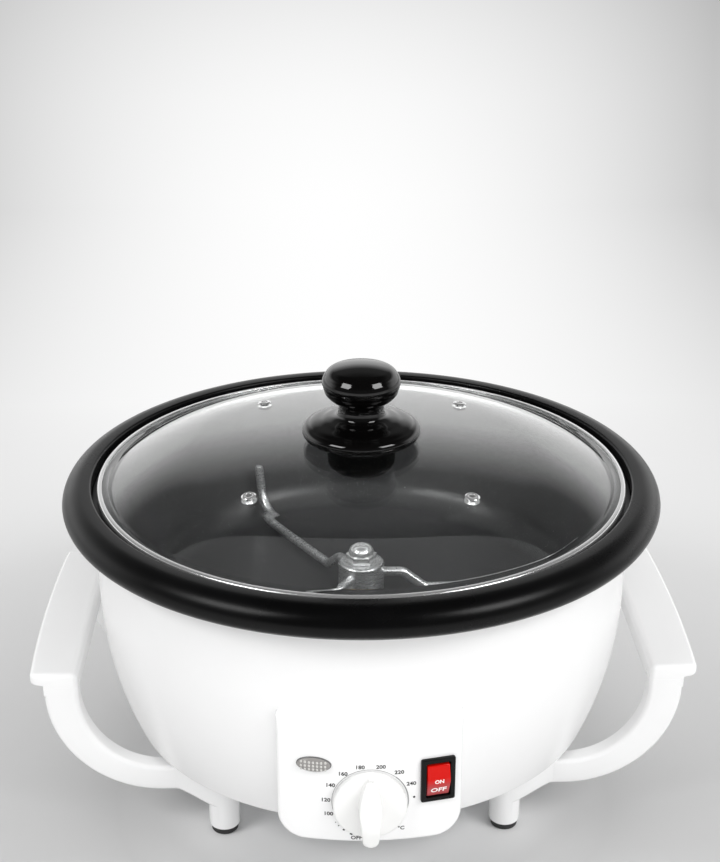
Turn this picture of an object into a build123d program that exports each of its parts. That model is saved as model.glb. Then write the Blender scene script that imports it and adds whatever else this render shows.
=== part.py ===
from build123d import *
import os
from math import cos, pi, radians, sin, sqrt

# Countertop coffee bean roaster, in millimetres. Z is up and the feet stand on z = 0.
# Pan, lid and stirrer share one vertical axis, and the control panel faces -Y. The model
# is built about that axis, then moved along Y so that the origin lies under the middle of
# its bounding box.

# ---------------------------------------------------------------- fits and clearances
running_gap = 0.05  # radial gap of a shaft in its bush
seat_gap = 0.1  # gap round a piece that stands still in its hole or pocket
moving_gap = 0.4  # gap between pieces that move past each other
blind_gap = 0.5  # free depth past the end of a screw or pin in a blind hole
thread_past_nut = 1.0  # how far a thread stands out past its nut
through = 50.0  # how far a cutting tool runs past what it cuts
quarter_turn = 90.0  # degrees

# ---------------------------------------------------------------- housing and base
stand_height = 40.5  # ground to the housing's lower edge
housing_height = 105.5
housing_top_radius = 126.0
housing_taper = 13.6  # how much narrower the bowl is at its lower edge
housing_straight = 37.5  # upright part of the wall, below its top edge
housing_wall = 2.2
ledge_width = 6.0  # inward ledge that the base plate is screwed to
ledge_thickness = 2.5
base_thickness = 2.5
base_screw_count = 4
base_screw_inset = 3.2  # screw axis inside the base plate's edge
vent_slot_width = 3.0
vent_slot_length = 30.0
vent_slot_pitch = 9.0
vent_slot_count = 5
vent_slot_margin = 2.0  # from the bracket's foot to the nearest end of a slot

# ---------------------------------------------------------------- rim ring
rim_overhang = 14.7  # how far the rim stands out past the housing
rim_height = 13.7
rim_seat_height = 6.1  # housing's top edge to the ledge that carries the pan
rim_groove = 2.5  # open groove round the lid
rim_crest_width = 3.6
rim_lip_radius = 1.2  # rounding between the groove and the crest
rim_shoulder_drop = 7.8  # crest down to the rim's widest line
rim_underside_inset = 3.2
rim_ledge_thickness = 3.0
rim_ledge_width = 2.2  # skirt's inner face to the pan
rim_skirt_depth = 9.0
rim_skirt_wall = 2.4

# ---------------------------------------------------------------- pan
pan_taper = 12.5  # how much narrower the pan is at its floor
pan_wall = 1.5
pan_flange_thickness = 1.2
pan_corner_radius = 14.0

# ---------------------------------------------------------------- lid
lid_lap = 7.0  # how far the lid stands out past the pan's mouth
lid_band_height = 5.2
lid_band_wall = 0.5
lid_band_lip = 2.4
glass_thickness = 4.0
glass_edge_width = 5.0  # flat edge that the band grips
glass_rise = 17.6  # apex above the glass's flat edge
glass_crown_radius = 620.0
glass_crown_reach = 80.5  # where the flat crown meets the steeper outer part
eyelet_across_x = 98.4
eyelet_across_y = 111.2
eyelet_hole_radius = 1.6
eyelet_flange_radius = 3.6
eyelet_wall = 0.5
lid_turn = -2.0  # degrees, how the lid is laid on

# lid knob
knob_height = 37.0  # glass apex to the knob's top
knob_cap_radius = 18.3
knob_cap_widest_drop = 9.0  # knob's top down to the cap's widest line
knob_crown_reach = 13.2  # a point on the cap's rounded top
knob_crown_drop = 1.7
knob_brow_inset = 1.4  # where the rounded top meets the cap's side
knob_brow_drop = 4.6
knob_seam_drop = 12.5
knob_seam_inset = 0.8
knob_undercut_inset = 3.3  # a point on the flare between the neck and the seam
knob_undercut_drop = 3.4
knob_neck_radius = 11.0
knob_neck_taper = 0.4
knob_neck_drop = 7.5  # seam down to the neck's straight part
knob_guard_radius = 27.3
knob_guard_thickness = 6.0
knob_guard_widest = 2.7  # guard's lower face up to its widest line
knob_guard_edge = 2.5
knob_guard_top_drop = 0.3
knob_guard_rise = 4.8  # guard's outer edge up to the foot of the neck
knob_guard_lift = 1.2  # foot of the knob up to the guard's lower face
knob_flare_radius = 18.0  # a point on the guard's rising upper face
knob_flare_rise = 1.9
knob_foot_radius = 15.5
knob_screw_radius = 2.5
knob_screw_head_radius = 4.6
knob_screw_bite = 3.5  # length of the screw inside the cap
gasket_thickness = 1.0
gasket_inset = 0.6
retainer_depth = 11.5
retainer_radius = 15.5
retainer_edge_radius = 4.5
retainer_recess = 3.2
retainer_screw_inset = 0.4

# ---------------------------------------------------------------- stirrer and drive
shaft_radius = 4.0
motor_shaft_radius = 3.5
shaft_flat_depth = 0.8
bush_wall = 2.5
bush_flange_radius = 9.0
bush_flange_thickness = 2.0
bush_collar_height = 4.0
bush_nut_radius = 10.0
bush_nut_height = 3.2
hub_radius = 11.0
hub_height = 16.0
hub_lift = 2.6  # gap from the pan floor to the hub
hub_chamfer = 1.2
arm_count = 3
arm_radius = 2.25
arm_floor_gap = 1.6
arm_wall_gap = 3.0
arm_upturn = 22.0
arm_root_height = 10.0  # hub's lower face to the arm's socket
arm_root_reach = 20.0  # where the arm leaves its level at the hub
arm_floor_start = 31.0  # where it reaches its level over the floor
arm_bend_radius = 6.0
arm_socket_depth = 4.0
stirrer_nut_radius = 7.5
stirrer_nut_height = 8.0
stirrer_nut_edge = 0.4
coupler_radius = 7.0
coupler_lift = 1.0  # bracket up to the coupler
coupler_gap = 1.8  # coupler up to the bush
coupler_split = 6.0  # bottom of the coupler to the step between its bores

# ---------------------------------------------------------------- heater and shield
heater_plate_radius = 74.0
heater_plate_bore = 24.0
heater_plate_thickness = 3.0
element_ring_radius = 56.0
element_radius = 3.3
element_flat = 0.2  # how far the tube is pressed flat against the plate
element_gap_angle = 40.0
element_tail_reach = 90.0
terminal_pin_radius = 1.5
terminal_pin_length = 8.0
clamp_count = 3
clamp_width = 12.0
clamp_thickness = 1.2
clamp_foot = 6.0
clamp_first_angle = 30.0
shield_radius = 94.0
shield_thickness = 0.8
shield_lip = 4.0
shield_drop = 14.0  # pan underside down to the shield
shield_lift = 6.5  # bracket up to the shield
shield_hole_radius = 9.5
tie_circle_radius = 82.0
tie_count = 3
tie_radius = 2.5
tie_stud_radius = 5.0
tie_stud_height = 1.5
spacer_radius = 4.2
tie_nut_radius = 4.6
tie_nut_height = 3.0

# ---------------------------------------------------------------- gear motor
motor_radius = 24.5
motor_height = 19.0
motor_cover_thickness = 1.2
motor_ear_circle = 29.5
motor_ear_radius = 5.0
motor_screw_radius = 1.95
bracket_thickness = 1.5
bracket_width = 44.0
bracket_span = 74.0
bracket_height = 29.0
bracket_foot = 11.0

# ---------------------------------------------------------------- legs and feet
leg_radius = 7.25
leg_x = 66.65
leg_y = 60.0
leg_block_end = 89.0  # outer face of the block that takes the handle strap
leg_gusset_low = 13.5
leg_block_low = 23.0
pad_radius = 6.4
pad_thickness = 3.0
pad_stem_radius = 2.5
pad_stem_length = 6.0
pad_edge = 0.6

# ---------------------------------------------------------------- handles
handle_gap = 5.2  # housing's widest line to the handle
handle_overhang = 8.3  # how far the grip's lip stands out past the straps
handle_half_length = 63.0
handle_bow = 2.2
handle_top = 87.0
grip_thickness = 12.5
grip_lip_thickness = 4.5
grip_lip_rise = 1.0  # grip's underside up to the root of the lip
strap_width = 15.5
strap_depth = 10.0
strap_run = 6.0  # straight part of a strap outside its leg block
strap_bottom = 23.6
strap_top = 36.4
tenon_length = 11.0
tenon_inset = 2.6
tenon_floor = 3.6  # wall of the leg block under the tenon
grip_corner_radius = 6.0
grip_edge_radius = 2.4

# ---------------------------------------------------------------- control box
box_reach = 4.0  # panel in front of the housing's widest line
box_half_width = 39.3
box_top = 107.0
box_bottom = 42.9
box_corner_radius = 11.0
box_top_corner_radius = 3.0
box_wall = 2.4
box_top_chamfer = 2.6
box_edge_radius = 1.2
window_top = 95.5
window_step = 60.5
window_bottom = 48.5
window_half_width = 36.0
window_lower_half_width = 24.0
box_screw_x = 30.5
box_screw_z = 54.5
box_boss_radius = 3.6
box_pad_radius = 5.0  # flat pads inside the housing for the box's screws
box_pad_rise = 0.6

# thermostat and its knob
dial_z = 63.4
dial_skirt_radius = 15.75
dial_skirt_thickness = 3.2
dial_air_gap = 0.6
dial_height = 15.4  # from the panel to the top of the knob's rib
dial_rib_top_radius = 1.4
dial_rib_tip_radius = 3.4
dial_rib_tip_reach = 17.3
dial_rib_top_reach = 15.4
dial_rib_end_height = 6.4
dial_rib_slope = 33.0
dial_rib_edge = 0.6
dial_skirt_edge = 1.0
dial_hub_wall = 1.8
dial_recess_radius = 8.2
dial_recess_depth = 2.0
dial_bore_depth = 10.5
dial_shaft_radius = 3.0
dial_travel = 265.0
bushing_radius = 4.5
thermostat_width = 30.0
thermostat_height = 26.0
thermostat_depth = 22.0
thermostat_setback = 3.7
thermostat_shoulder_radius = 7.0
thermostat_panel_gap = 0.25  # shoulder to the panel's inner face
thermostat_shaft_depth = 15.4  # case's front in to the end of the shaft's bore
dial_nut_radius = 6.6
dial_nut_thickness = 1.8
bulb_radius = 2.5
bulb_length = 50.0
bulb_y = 79.5
capillary_radius = 0.9
capillary_run = 8.0
capillary_bend = 3.5

# rocker switch
switch_azimuth = 12.75
switch_z = 72.8
bezel_width = 15.0
bezel_height = 21.0
bezel_thickness = 1.6
bezel_corner_radius = 0.8
bezel_chamfer = 0.5
switch_body_width = 12.8
switch_body_height = 18.8
switch_body_depth = 15.0
rocker_width = 10.0
rocker_length = 15.4
rocker_crown = 1.8  # crown of the rocker above the bezel
rocker_edge_height = 0.55
rocker_depth = 6.0
rocker_side_depth = 2.7
rocker_keel_half = 3.1
rocker_swing_gap = 0.4  # extra room at each end of the rocker
rocker_floor_gap = 2.0
rocker_pivot_depth = 3.0
rocker_pivot_radius = 1.5
rocker_pivot_length = 0.9
rocker_rest_tilt = 7.0
terminal_width = 4.8
terminal_thickness = 0.8
terminal_length = 7.5
terminal_pitch = 6.4

# pilot lamp
lamp_azimuth = -10.45
lamp_z = 81.6
lamp_width = 14.4
lamp_height = 6.5
lamp_flange = 1.0
lamp_body_inset = 1.0
lamp_body_depth = 9.0
lamp_crown = 0.9
lamp_crown_inset_across = 1.6
lamp_crown_inset_up = 1.3
lamp_wall = 1.0
lamp_wall_up = 0.8
lamp_bulb_radius = 1.2
lamp_bulb_length = 4.6
lamp_clip_thickness = 1.2
lamp_clip_margin = 1.8
lamp_clip_gap = 0.45  # panel's inner face to the clip

# ---------------------------------------------------------------- wiring pieces
gland_z = 58.0
gland_bore_radius = 3.5
gland_body_radius = 6.0
gland_flange_radius = 8.5
gland_flange_thickness = 2.5
gland_nose = 4.0
gland_tail = 7.0
gland_chamfer = 1.0
terminal_block_length = 30.0
terminal_block_width = 18.0
terminal_block_height = 14.0
terminal_block_x = -38.0
terminal_block_y = 46.0
block_way_count = 4
block_way_pitch = 7.0
block_row_reach = 5.0  # block's middle to each row of holes
block_hole_radius = 1.8
block_hole_depth = 4.0
fuse_radius = 2.2
fuse_length = 13.0
fuse_lead_radius = 0.6
fuse_circle_radius = 38.0
fuse_clip_width = 5.0
fuse_clip_thickness = 0.8

# ---------------------------------------------------------------- screws
screw_radius = 1.95
screw_head_radius = 3.8
screw_head_height = 2.2
leg_screw_length = 16.0
base_screw_length = 8.0
handle_screw_length = 11.0
box_screw_length = 11.0

# ---------------------------------------------------------------- derived heights
housing_top = stand_height + housing_height
base_top = stand_height + base_thickness
rim_crest_z = housing_top + rim_height
rim_ledge_z = housing_top + rim_seat_height
pan_top = rim_ledge_z + pan_flange_thickness
lid_ring_z = pan_top + lid_band_height
glass_edge_top = lid_ring_z - lid_band_wall - seat_gap
glass_apex = glass_edge_top + glass_rise
bracket_top = base_top + bracket_height
motor_top = bracket_top - bracket_thickness
shield_z = bracket_top + shield_lift
pan_under = shield_z + shield_drop
pan_floor_top = pan_under + pan_wall
pan_depth = pan_top - pan_floor_top
heater_plate_low = pan_under - heater_plate_thickness
element_z = heater_plate_low - element_radius + element_flat
bulb_z = pan_under - bulb_radius - seat_gap
fuse_z = heater_plate_low - fuse_radius - seat_gap
tie_length_below = tie_nut_height + thread_past_nut
handle_screw_seat = strap_bottom + tenon_inset - tenon_floor
bush_low = pan_under - bush_nut_height - thread_past_nut
collar_top = pan_floor_top + bush_flange_thickness + bush_collar_height
hub_bore_low = collar_top + moving_gap
hub_low = pan_floor_top + hub_lift
hub_high = hub_low + hub_height
stirrer_nut_high = hub_high + stirrer_nut_height
arm_z = pan_floor_top + arm_floor_gap + arm_radius
arm_root_z = hub_low + arm_root_height
coupler_low = bracket_top + coupler_lift
coupler_high = bush_low - coupler_gap
coupler_step = coupler_low + coupler_split
knob_foot_z = glass_apex + gasket_thickness
knob_guard_z = knob_foot_z + knob_guard_lift
knob_top = glass_apex + knob_height
knob_seam_z = knob_top - knob_seam_drop
retainer_low = glass_apex - glass_thickness - retainer_depth

# ---------------------------------------------------------------- derived radii
housing_bottom_radius = housing_top_radius - housing_taper
skirt_radius = housing_top_radius - housing_wall - seat_gap
skirt_inner_radius = skirt_radius - rim_skirt_wall
ledge_radius = skirt_inner_radius - rim_ledge_width
pan_radius = ledge_radius - seat_gap - pan_wall
pan_floor_radius = pan_radius - pan_taper
lid_radius = pan_radius + lid_lap
rim_outer_radius = housing_top_radius + rim_overhang
rim_inner_radius = lid_radius + rim_groove
pan_flange_radius = rim_inner_radius - seat_gap
box_face_radius = housing_top_radius + box_reach
base_radius = housing_bottom_radius - housing_wall - seat_gap
glass_radius = lid_radius - lid_band_wall - seat_gap
bushing_reach = dial_air_gap + dial_recess_depth - moving_gap
dial_reach = box_face_radius + dial_height
strap_inner = housing_top_radius + handle_gap
strap_outer = strap_inner + strap_width
strap_centre_x = leg_block_end + strap_run
handle_reach = strap_outer + handle_overhang
handle_screw_x = leg_block_end - tenon_length / 2
axis_y = (dial_reach - rim_outer_radius) / 2


# ================================================================ shape helpers
def disc(radius, low, high, x=0.0, y=0.0):
    """Upright round bar from one height to another."""
    return Pos(x, y, low) * Cylinder(radius, high - low, align=(Align.CENTER, Align.CENTER, Align.MIN))


def ring(outer, inner, low, high, x=0.0, y=0.0):
    """Upright tube."""
    return disc(outer, low, high, x, y) - disc(inner, low, high, x, y)


def block(x_low, x_high, y_low, y_high, z_low, z_high):
    """Box between two corners."""
    size = (x_high - x_low, y_high - y_low, z_high - z_low)
    return Pos(x_low, y_low, z_low) * Box(*size, align=(Align.MIN, Align.MIN, Align.MIN))


def turned(edges):
    """Solid of revolution about Z from a closed outline of (radius, height) edges."""
    return revolve(Plane.XZ * make_face(edges), Axis.Z)


def turned_outline(points, radii=0.0):
    """Solid of revolution from corner points, with a radius for each corner."""
    return turned(FilletPolyline(*points, radius=radii, close=True))


def fused(parts):
    """One part from several that touch or overlap."""
    whole = Part()
    for piece in parts:
        whole += piece
    return whole


def group(parts):
    """Separate solids that share one node."""
    return Compound([solid for piece in parts for solid in piece.solids()])


def panel_frame(azimuth, height, radius):
    """Frame on the panel: X to the viewer's right, Y up, Z out of the panel."""
    outward = (sin(radians(azimuth)), -cos(radians(azimuth)), 0)
    across = (cos(radians(azimuth)), sin(radians(azimuth)), 0)
    origin = (radius * outward[0], radius * outward[1], height)
    return Plane(origin=origin, x_dir=across, z_dir=outward).location


def ring_places(count, radius, first_angle):
    """Centres of pieces spread evenly on a circle."""
    angles = [radians(first_angle + 360.0 * step / count) for step in range(count)]
    return [(radius * cos(angle), radius * sin(angle)) for angle in angles]


def hex_nut(radius, low, high, bore, x=0.0, y=0.0):
    """Hexagon nut; the radius is to its corners."""
    prism = Pos(x, y, low) * extrude(RegularPolygon(radius, 6), high - low)
    return prism - disc(bore, low, high, x, y)


def screw_down(head_seat, length, x, y):
    """Pan-head screw whose head stands on a face and whose shank points down."""
    return disc(screw_head_radius, head_seat, head_seat + screw_head_height, x, y) + disc(
        screw_radius, head_seat - length, head_seat, x, y
    )


def screw_up(head_seat, length, x, y):
    """Pan-head screw whose head hangs under a face and whose shank points up."""
    return disc(screw_head_radius, head_seat - screw_head_height, head_seat, x, y) + disc(
        screw_radius, head_seat, head_seat + length, x, y
    )


# ================================================================ housing
def housing_space(inset):
    """Solid inside the bowl's outer face, set in by a distance and run past both its ends."""
    high = housing_top + through
    low = stand_height - through
    upper = (housing_top_radius - inset, housing_top - housing_straight)
    lower = (housing_bottom_radius - inset, stand_height)
    return turned(
        [
            Line((0, high), (upper[0], high)),
            Line((upper[0], high), upper),
            TangentArc(upper, lower, tangent=(0, -1)),
            Line(lower, (lower[0], low)),
            Line((lower[0], low), (0, low)),
            Line((0, low), (0, high)),
        ]
    )


def base_screw_places():
    return ring_places(base_screw_count, base_radius - base_screw_inset, 0.0)


def leg_places():
    return [(side * leg_x, end * leg_y) for end in (-1, 1) for side in (-1, 1)]


def window_cutter():
    """Opening behind the control box, wide above and narrow below."""
    depth = box_face_radius
    wide = block(-window_half_width, window_half_width, -depth, 0, window_step, window_top)
    narrow = block(
        -window_lower_half_width, window_lower_half_width, -depth, 0, window_bottom, window_step
    )
    return (wide + narrow) - disc(housing_bottom_radius - through / 2, 0, housing_top)


def outer_housing():
    outside = housing_space(0.0)
    shell = (outside - housing_space(housing_wall)) & disc(housing_top_radius, stand_height, housing_top)
    ledge_inner = housing_bottom_radius - housing_wall - ledge_width
    ledge = ring(housing_top_radius, ledge_inner, base_top, base_top + ledge_thickness)
    shell += ledge & outside
    shell -= window_cutter()
    shell -= fused(
        disc(screw_radius + seat_gap, stand_height, base_top + ledge_thickness, x, y)
        for x, y in base_screw_places()
    )
    shell -= gland_hole()
    for place in box_screw_places():
        shell += place * disc(box_pad_radius, box_screw_seat(), box_face_radius) & outside
        shell -= place * disc(screw_radius + seat_gap, 0, box_face_radius)
    return shell


def base_plate():
    plate = disc(base_radius, stand_height, base_top)
    slot = SlotOverall(vent_slot_length, vent_slot_width)
    for side in (-1, 1):
        for row in range(vent_slot_count):
            y = (row - (vent_slot_count - 1) / 2) * vent_slot_pitch
            x = side * (bracket_span / 2 + bracket_foot + vent_slot_margin + vent_slot_length / 2)
            plate -= Pos(x, y, stand_height) * extrude(slot, base_thickness)
    holes = [(x, y, screw_radius + seat_gap) for x, y in base_screw_places()]
    holes += [(x, y, screw_radius + seat_gap) for x, y in leg_places()]
    holes += [(x, y, tie_radius + seat_gap) for x, y in tie_places()]
    holes += [(x, y, screw_radius + seat_gap) for x, y in bracket_screw_places()]
    holes += [(terminal_block_x, terminal_block_y, screw_radius + seat_gap)]
    return plate - fused(disc(r, stand_height, base_top, x, y) for x, y, r in holes)


def base_screws():
    """Screws of the base plate, with one of the same kind for the terminal block."""
    places = base_screw_places() + [(terminal_block_x, terminal_block_y)]
    return group(screw_up(stand_height, base_screw_length, x, y) for x, y in places)


# ================================================================ rim ring
def rim_ring():
    crest = rim_inner_radius + rim_lip_radius
    crest_end = crest + rim_crest_width
    lip_z = rim_crest_z - rim_lip_radius
    shoulder_z = rim_crest_z - rim_shoulder_drop
    foot_radius = rim_outer_radius - rim_underside_inset
    ledge_low = rim_ledge_z - rim_ledge_thickness
    skirt_low = housing_top - rim_skirt_depth
    outline = [
        Line((rim_inner_radius, rim_ledge_z), (rim_inner_radius, lip_z)),
        TangentArc((rim_inner_radius, lip_z), (crest, rim_crest_z), tangent=(0, 1)),
        Line((crest, rim_crest_z), (crest_end, rim_crest_z)),
        TangentArc((crest_end, rim_crest_z), (rim_outer_radius, shoulder_z), tangent=(1, 0)),
        TangentArc((rim_outer_radius, shoulder_z), (foot_radius, housing_top), tangent=(0, -1)),
        Line((foot_radius, housing_top), (skirt_radius, housing_top)),
        Line((skirt_radius, housing_top), (skirt_radius, skirt_low)),
        Line((skirt_radius, skirt_low), (skirt_inner_radius, skirt_low)),
        Line((skirt_inner_radius, skirt_low), (skirt_inner_radius, ledge_low)),
        Line((skirt_inner_radius, ledge_low), (ledge_radius, ledge_low)),
        Line((ledge_radius, ledge_low), (ledge_radius, rim_ledge_z)),
        Line((ledge_radius, rim_ledge_z), (rim_inner_radius, rim_ledge_z)),
    ]
    return turned(outline)


# ================================================================ pan, heater, shield
def pan_inside(offset=0.0):
    """Solid of the pan's hollow, grown outwards by the offset."""
    floor = pan_floor_top - offset
    points = [
        (0, pan_top + offset),
        (pan_radius + offset, pan_top + offset),
        (pan_floor_radius + offset, floor),
        (0, floor),
    ]
    return turned_outline(points, [0.0, 0.0, pan_corner_radius + offset, 0.0])


def roasting_pan():
    flange = disc(pan_flange_radius, rim_ledge_z, pan_top)
    outside = pan_inside(pan_wall) & disc(pan_flange_radius, 0, pan_top)
    pan = flange + outside - pan_inside()
    return pan - disc(bush_wall + shaft_radius + running_gap + seat_gap, 0, pan_top)


def heater_plate():
    return ring(heater_plate_radius, heater_plate_bore, heater_plate_low, pan_under)


def heating_element():
    """Tubular ring with two tails that run out to the terminals."""
    sweep_angle = 360.0 - element_gap_angle
    start = 90.0 + element_gap_angle / 2
    section = Pos(element_ring_radius, 0, element_z) * Rot(90, 0, 0) * Circle(element_radius)
    tube = Rot(0, 0, start) * revolve(section, Axis.Z, sweep_angle)
    tail_length = element_tail_reach - element_ring_radius
    for angle in (start, start + sweep_angle):
        tail = Pos(element_ring_radius, 0, element_z) * Rot(0, 90, 0) * disc(element_radius, 0, tail_length)
        pin = Pos(element_tail_reach, 0, element_z) * Rot(0, 90, 0)
        pin = pin * disc(terminal_pin_radius, 0, terminal_pin_length)
        elbow = Pos(element_ring_radius, 0, element_z) * Sphere(element_radius)
        tube += Rot(0, 0, angle) * (tail + pin + elbow)
    return tube - disc(heater_plate_radius + through, heater_plate_low, pan_under)


def clamp_section(tube_radius, depth, thickness, foot, both_feet=True):
    """Section of a strap that holds a round piece up; the origin is the piece's centre."""
    inner = tube_radius + seat_gap
    outer = inner + thickness
    far = outer + foot
    near = far if both_feet else outer
    strap = Circle(outer) + Pos(0, depth / 2) * Rectangle(2 * outer, depth)
    strap += Pos((near - far) / 2, depth - thickness / 2) * Rectangle(near + far, thickness)
    strap -= Circle(inner) + Pos(0, outer) * Rectangle(2 * inner, 2 * outer)
    return strap - Pos(0, depth + outer) * Rectangle(2 * far, 2 * outer)


def heater_clamps():
    """Straps that hold the tube up against its plate."""
    depth = element_radius - element_flat
    section = clamp_section(element_radius, depth, clamp_thickness, clamp_foot)
    arc = clamp_width / element_ring_radius * 180.0 / pi
    strap = revolve(Plane.XZ * Pos(element_ring_radius, element_z) * section, Axis.Z, arc)
    turns = [clamp_first_angle + 360.0 * step / clamp_count for step in range(clamp_count)]
    return group(Rot(0, 0, turn - arc / 2) * strap for turn in turns)


def tie_places():
    return ring_places(tie_count, tie_circle_radius, 90.0)


def heat_shield():
    top = shield_z + shield_thickness
    shield = disc(shield_radius, shield_z, top)
    shield += ring(shield_radius, shield_radius - shield_thickness, shield_z, shield_z + shield_lip)
    shield -= disc(shield_hole_radius, shield_z, top)
    return shield - fused(disc(tie_radius + seat_gap, shield_z, top, x, y) for x, y in tie_places())


def tie_rods():
    """Studs welded under the pan, which draw pan, rim, housing and base together."""
    low = stand_height - tie_length_below
    return group(
        disc(tie_radius, low, pan_under, x, y)
        + disc(tie_stud_radius, pan_under - tie_stud_height, pan_under, x, y)
        for x, y in tie_places()
    )


def spacer_tubes():
    bore = tie_radius + seat_gap
    spans = [(base_top, shield_z), (shield_z + shield_thickness, pan_under - tie_stud_height)]
    return group(
        ring(spacer_radius, bore, low, high, x, y) for x, y in tie_places() for low, high in spans
    )


def tie_nuts():
    return group(
        hex_nut(tie_nut_radius, stand_height - tie_nut_height, stand_height, tie_radius + running_gap, x, y)
        for x, y in tie_places()
    )


# ================================================================ gear motor
def motor_ear_places():
    return [(0.0, -motor_ear_circle), (0.0, motor_ear_circle)]


def bracket_screw_places():
    return [(side * (bracket_span / 2 + bracket_foot / 2), 0.0) for side in (-1, 1)]


def motor_case():
    case_top = motor_top - motor_cover_thickness
    case = disc(motor_radius, case_top - motor_height, case_top)
    return case - disc(motor_shaft_radius + running_gap, case_top - motor_height / 2, case_top)


def motor_cover():
    low = motor_top - motor_cover_thickness
    cover = disc(motor_radius, low, motor_top)
    for x, y in motor_ear_places():
        cover += disc(motor_ear_radius, low, motor_top, x, y)
        cover += block(
            -motor_ear_radius, motor_ear_radius, min(0.0, y), max(0.0, y), low, motor_top
        )
        cover -= disc(motor_screw_radius + seat_gap, low, motor_top, x, y)
    return cover - disc(motor_shaft_radius + running_gap, low, motor_top)


def motor_bracket():
    """Bridge over the motor, which hangs from its top plate."""
    half_span = bracket_span / 2
    half_width = bracket_width / 2 + motor_ear_circle - motor_radius + motor_ear_radius
    top = block(-half_span, half_span, -half_width, half_width, motor_top, bracket_top)
    bracket = top
    for side in (-1, 1):
        inner = side * (half_span - bracket_thickness)
        outer = side * half_span
        foot_end = side * (half_span + bracket_foot)
        bracket += block(
            min(inner, outer), max(inner, outer), -half_width, half_width, base_top, bracket_top
        )
        bracket += block(
            min(inner, foot_end), max(inner, foot_end), -half_width, half_width,
            base_top, base_top + bracket_thickness,
        )
    for x, y in bracket_screw_places():
        bracket -= disc(screw_radius + seat_gap, base_top, base_top + bracket_thickness, x, y)
    for x, y in motor_ear_places():
        bracket -= disc(motor_screw_radius + seat_gap, motor_top, bracket_top, x, y)
    return bracket - disc(coupler_radius + moving_gap, motor_top, bracket_top)


def motor_screws():
    """Screws and nuts that hold the motor's ears under the bracket."""
    low = motor_top - motor_cover_thickness
    pieces = []
    for x, y in motor_ear_places():
        shank_low = low - screw_head_height - thread_past_nut
        pieces.append(
            disc(screw_head_radius, bracket_top, bracket_top + screw_head_height, x, y)
            + disc(motor_screw_radius, shank_low, bracket_top, x, y)
        )
        pieces.append(
            hex_nut(screw_head_radius, low - screw_head_height, low, motor_screw_radius + running_gap, x, y)
        )
    return group(pieces)


def bracket_screws():
    """Screws up through the base plate with nuts on the bracket's feet."""
    pieces = []
    for x, y in bracket_screw_places():
        grip = base_thickness + bracket_thickness
        pieces.append(screw_up(stand_height, grip + screw_head_height + thread_past_nut, x, y))
        low = base_top + bracket_thickness
        high = low + screw_head_height
        pieces.append(hex_nut(screw_head_radius, low, high, screw_radius + running_gap, x, y))
    return group(pieces)


# ================================================================ shaft and stirrer
def flat_shaft(radius, low, high, flat_low, flat_high):
    """Round shaft with one flat along part of its length."""
    shaft = disc(radius, low, high)
    return shaft - block(radius - shaft_flat_depth, 2 * radius, -2 * radius, 2 * radius, flat_low, flat_high)


def motor_shaft():
    low = motor_top - motor_cover_thickness - motor_height / 2 + running_gap
    return flat_shaft(motor_shaft_radius, low, coupler_step - seat_gap, coupler_low, coupler_step)


def shaft_coupler():
    """Sleeve that joins the motor's shaft to the stirrer's shaft."""
    body = disc(coupler_radius, coupler_low, coupler_high)
    lower = flat_shaft(
        motor_shaft_radius + running_gap, coupler_low, coupler_step, coupler_low, coupler_step
    )
    upper = flat_shaft(shaft_radius + running_gap, coupler_step, coupler_high, coupler_step, coupler_high)
    return body - lower - upper


def drive_shaft():
    end = stirrer_nut_high - stirrer_nut_height / 4
    shaft = flat_shaft(shaft_radius, coupler_step + seat_gap, end, coupler_step, coupler_high)
    return shaft - block(
        shaft_radius - shaft_flat_depth, 2 * shaft_radius, -2 * shaft_radius, 2 * shaft_radius,
        hub_bore_low, hub_high,
    )


def shaft_bush():
    """Flanged bush in the pan's floor with a collar that keeps beans out."""
    bore = shaft_radius + running_gap
    outer = bore + bush_wall
    bush = disc(outer, bush_low, collar_top)
    bush += disc(bush_flange_radius, pan_floor_top, pan_floor_top + bush_flange_thickness)
    return bush - disc(bore, bush_low, collar_top)


def bush_nut():
    bore = shaft_radius + running_gap + bush_wall + running_gap
    return hex_nut(bush_nut_radius, pan_under - bush_nut_height, pan_under, bore)


def arm_angles():
    return [360.0 * step / arm_count for step in range(arm_count)]


def stirrer_hub():
    """Hub with a skirt over the bush's collar."""
    collar_radius = shaft_radius + running_gap + bush_wall + moving_gap
    hub = disc(hub_radius, hub_low, hub_high)
    hub = chamfer(hub.edges().group_by(Axis.Z)[-1], hub_chamfer)
    hub -= disc(collar_radius, hub_low, hub_bore_low)
    bore = disc(shaft_radius + running_gap, hub_bore_low, hub_high)
    bore -= block(
        shaft_radius - shaft_flat_depth + running_gap, 2 * shaft_radius, -2 * shaft_radius,
        2 * shaft_radius, hub_bore_low, hub_high,
    )
    socket = Pos(hub_radius - arm_socket_depth, 0, arm_root_z) * Rot(0, 90, 0)
    socket = socket * disc(arm_radius + running_gap, 0, hub_radius)
    return hub - bore - fused(Rot(0, 0, angle) * socket for angle in arm_angles())


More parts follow.
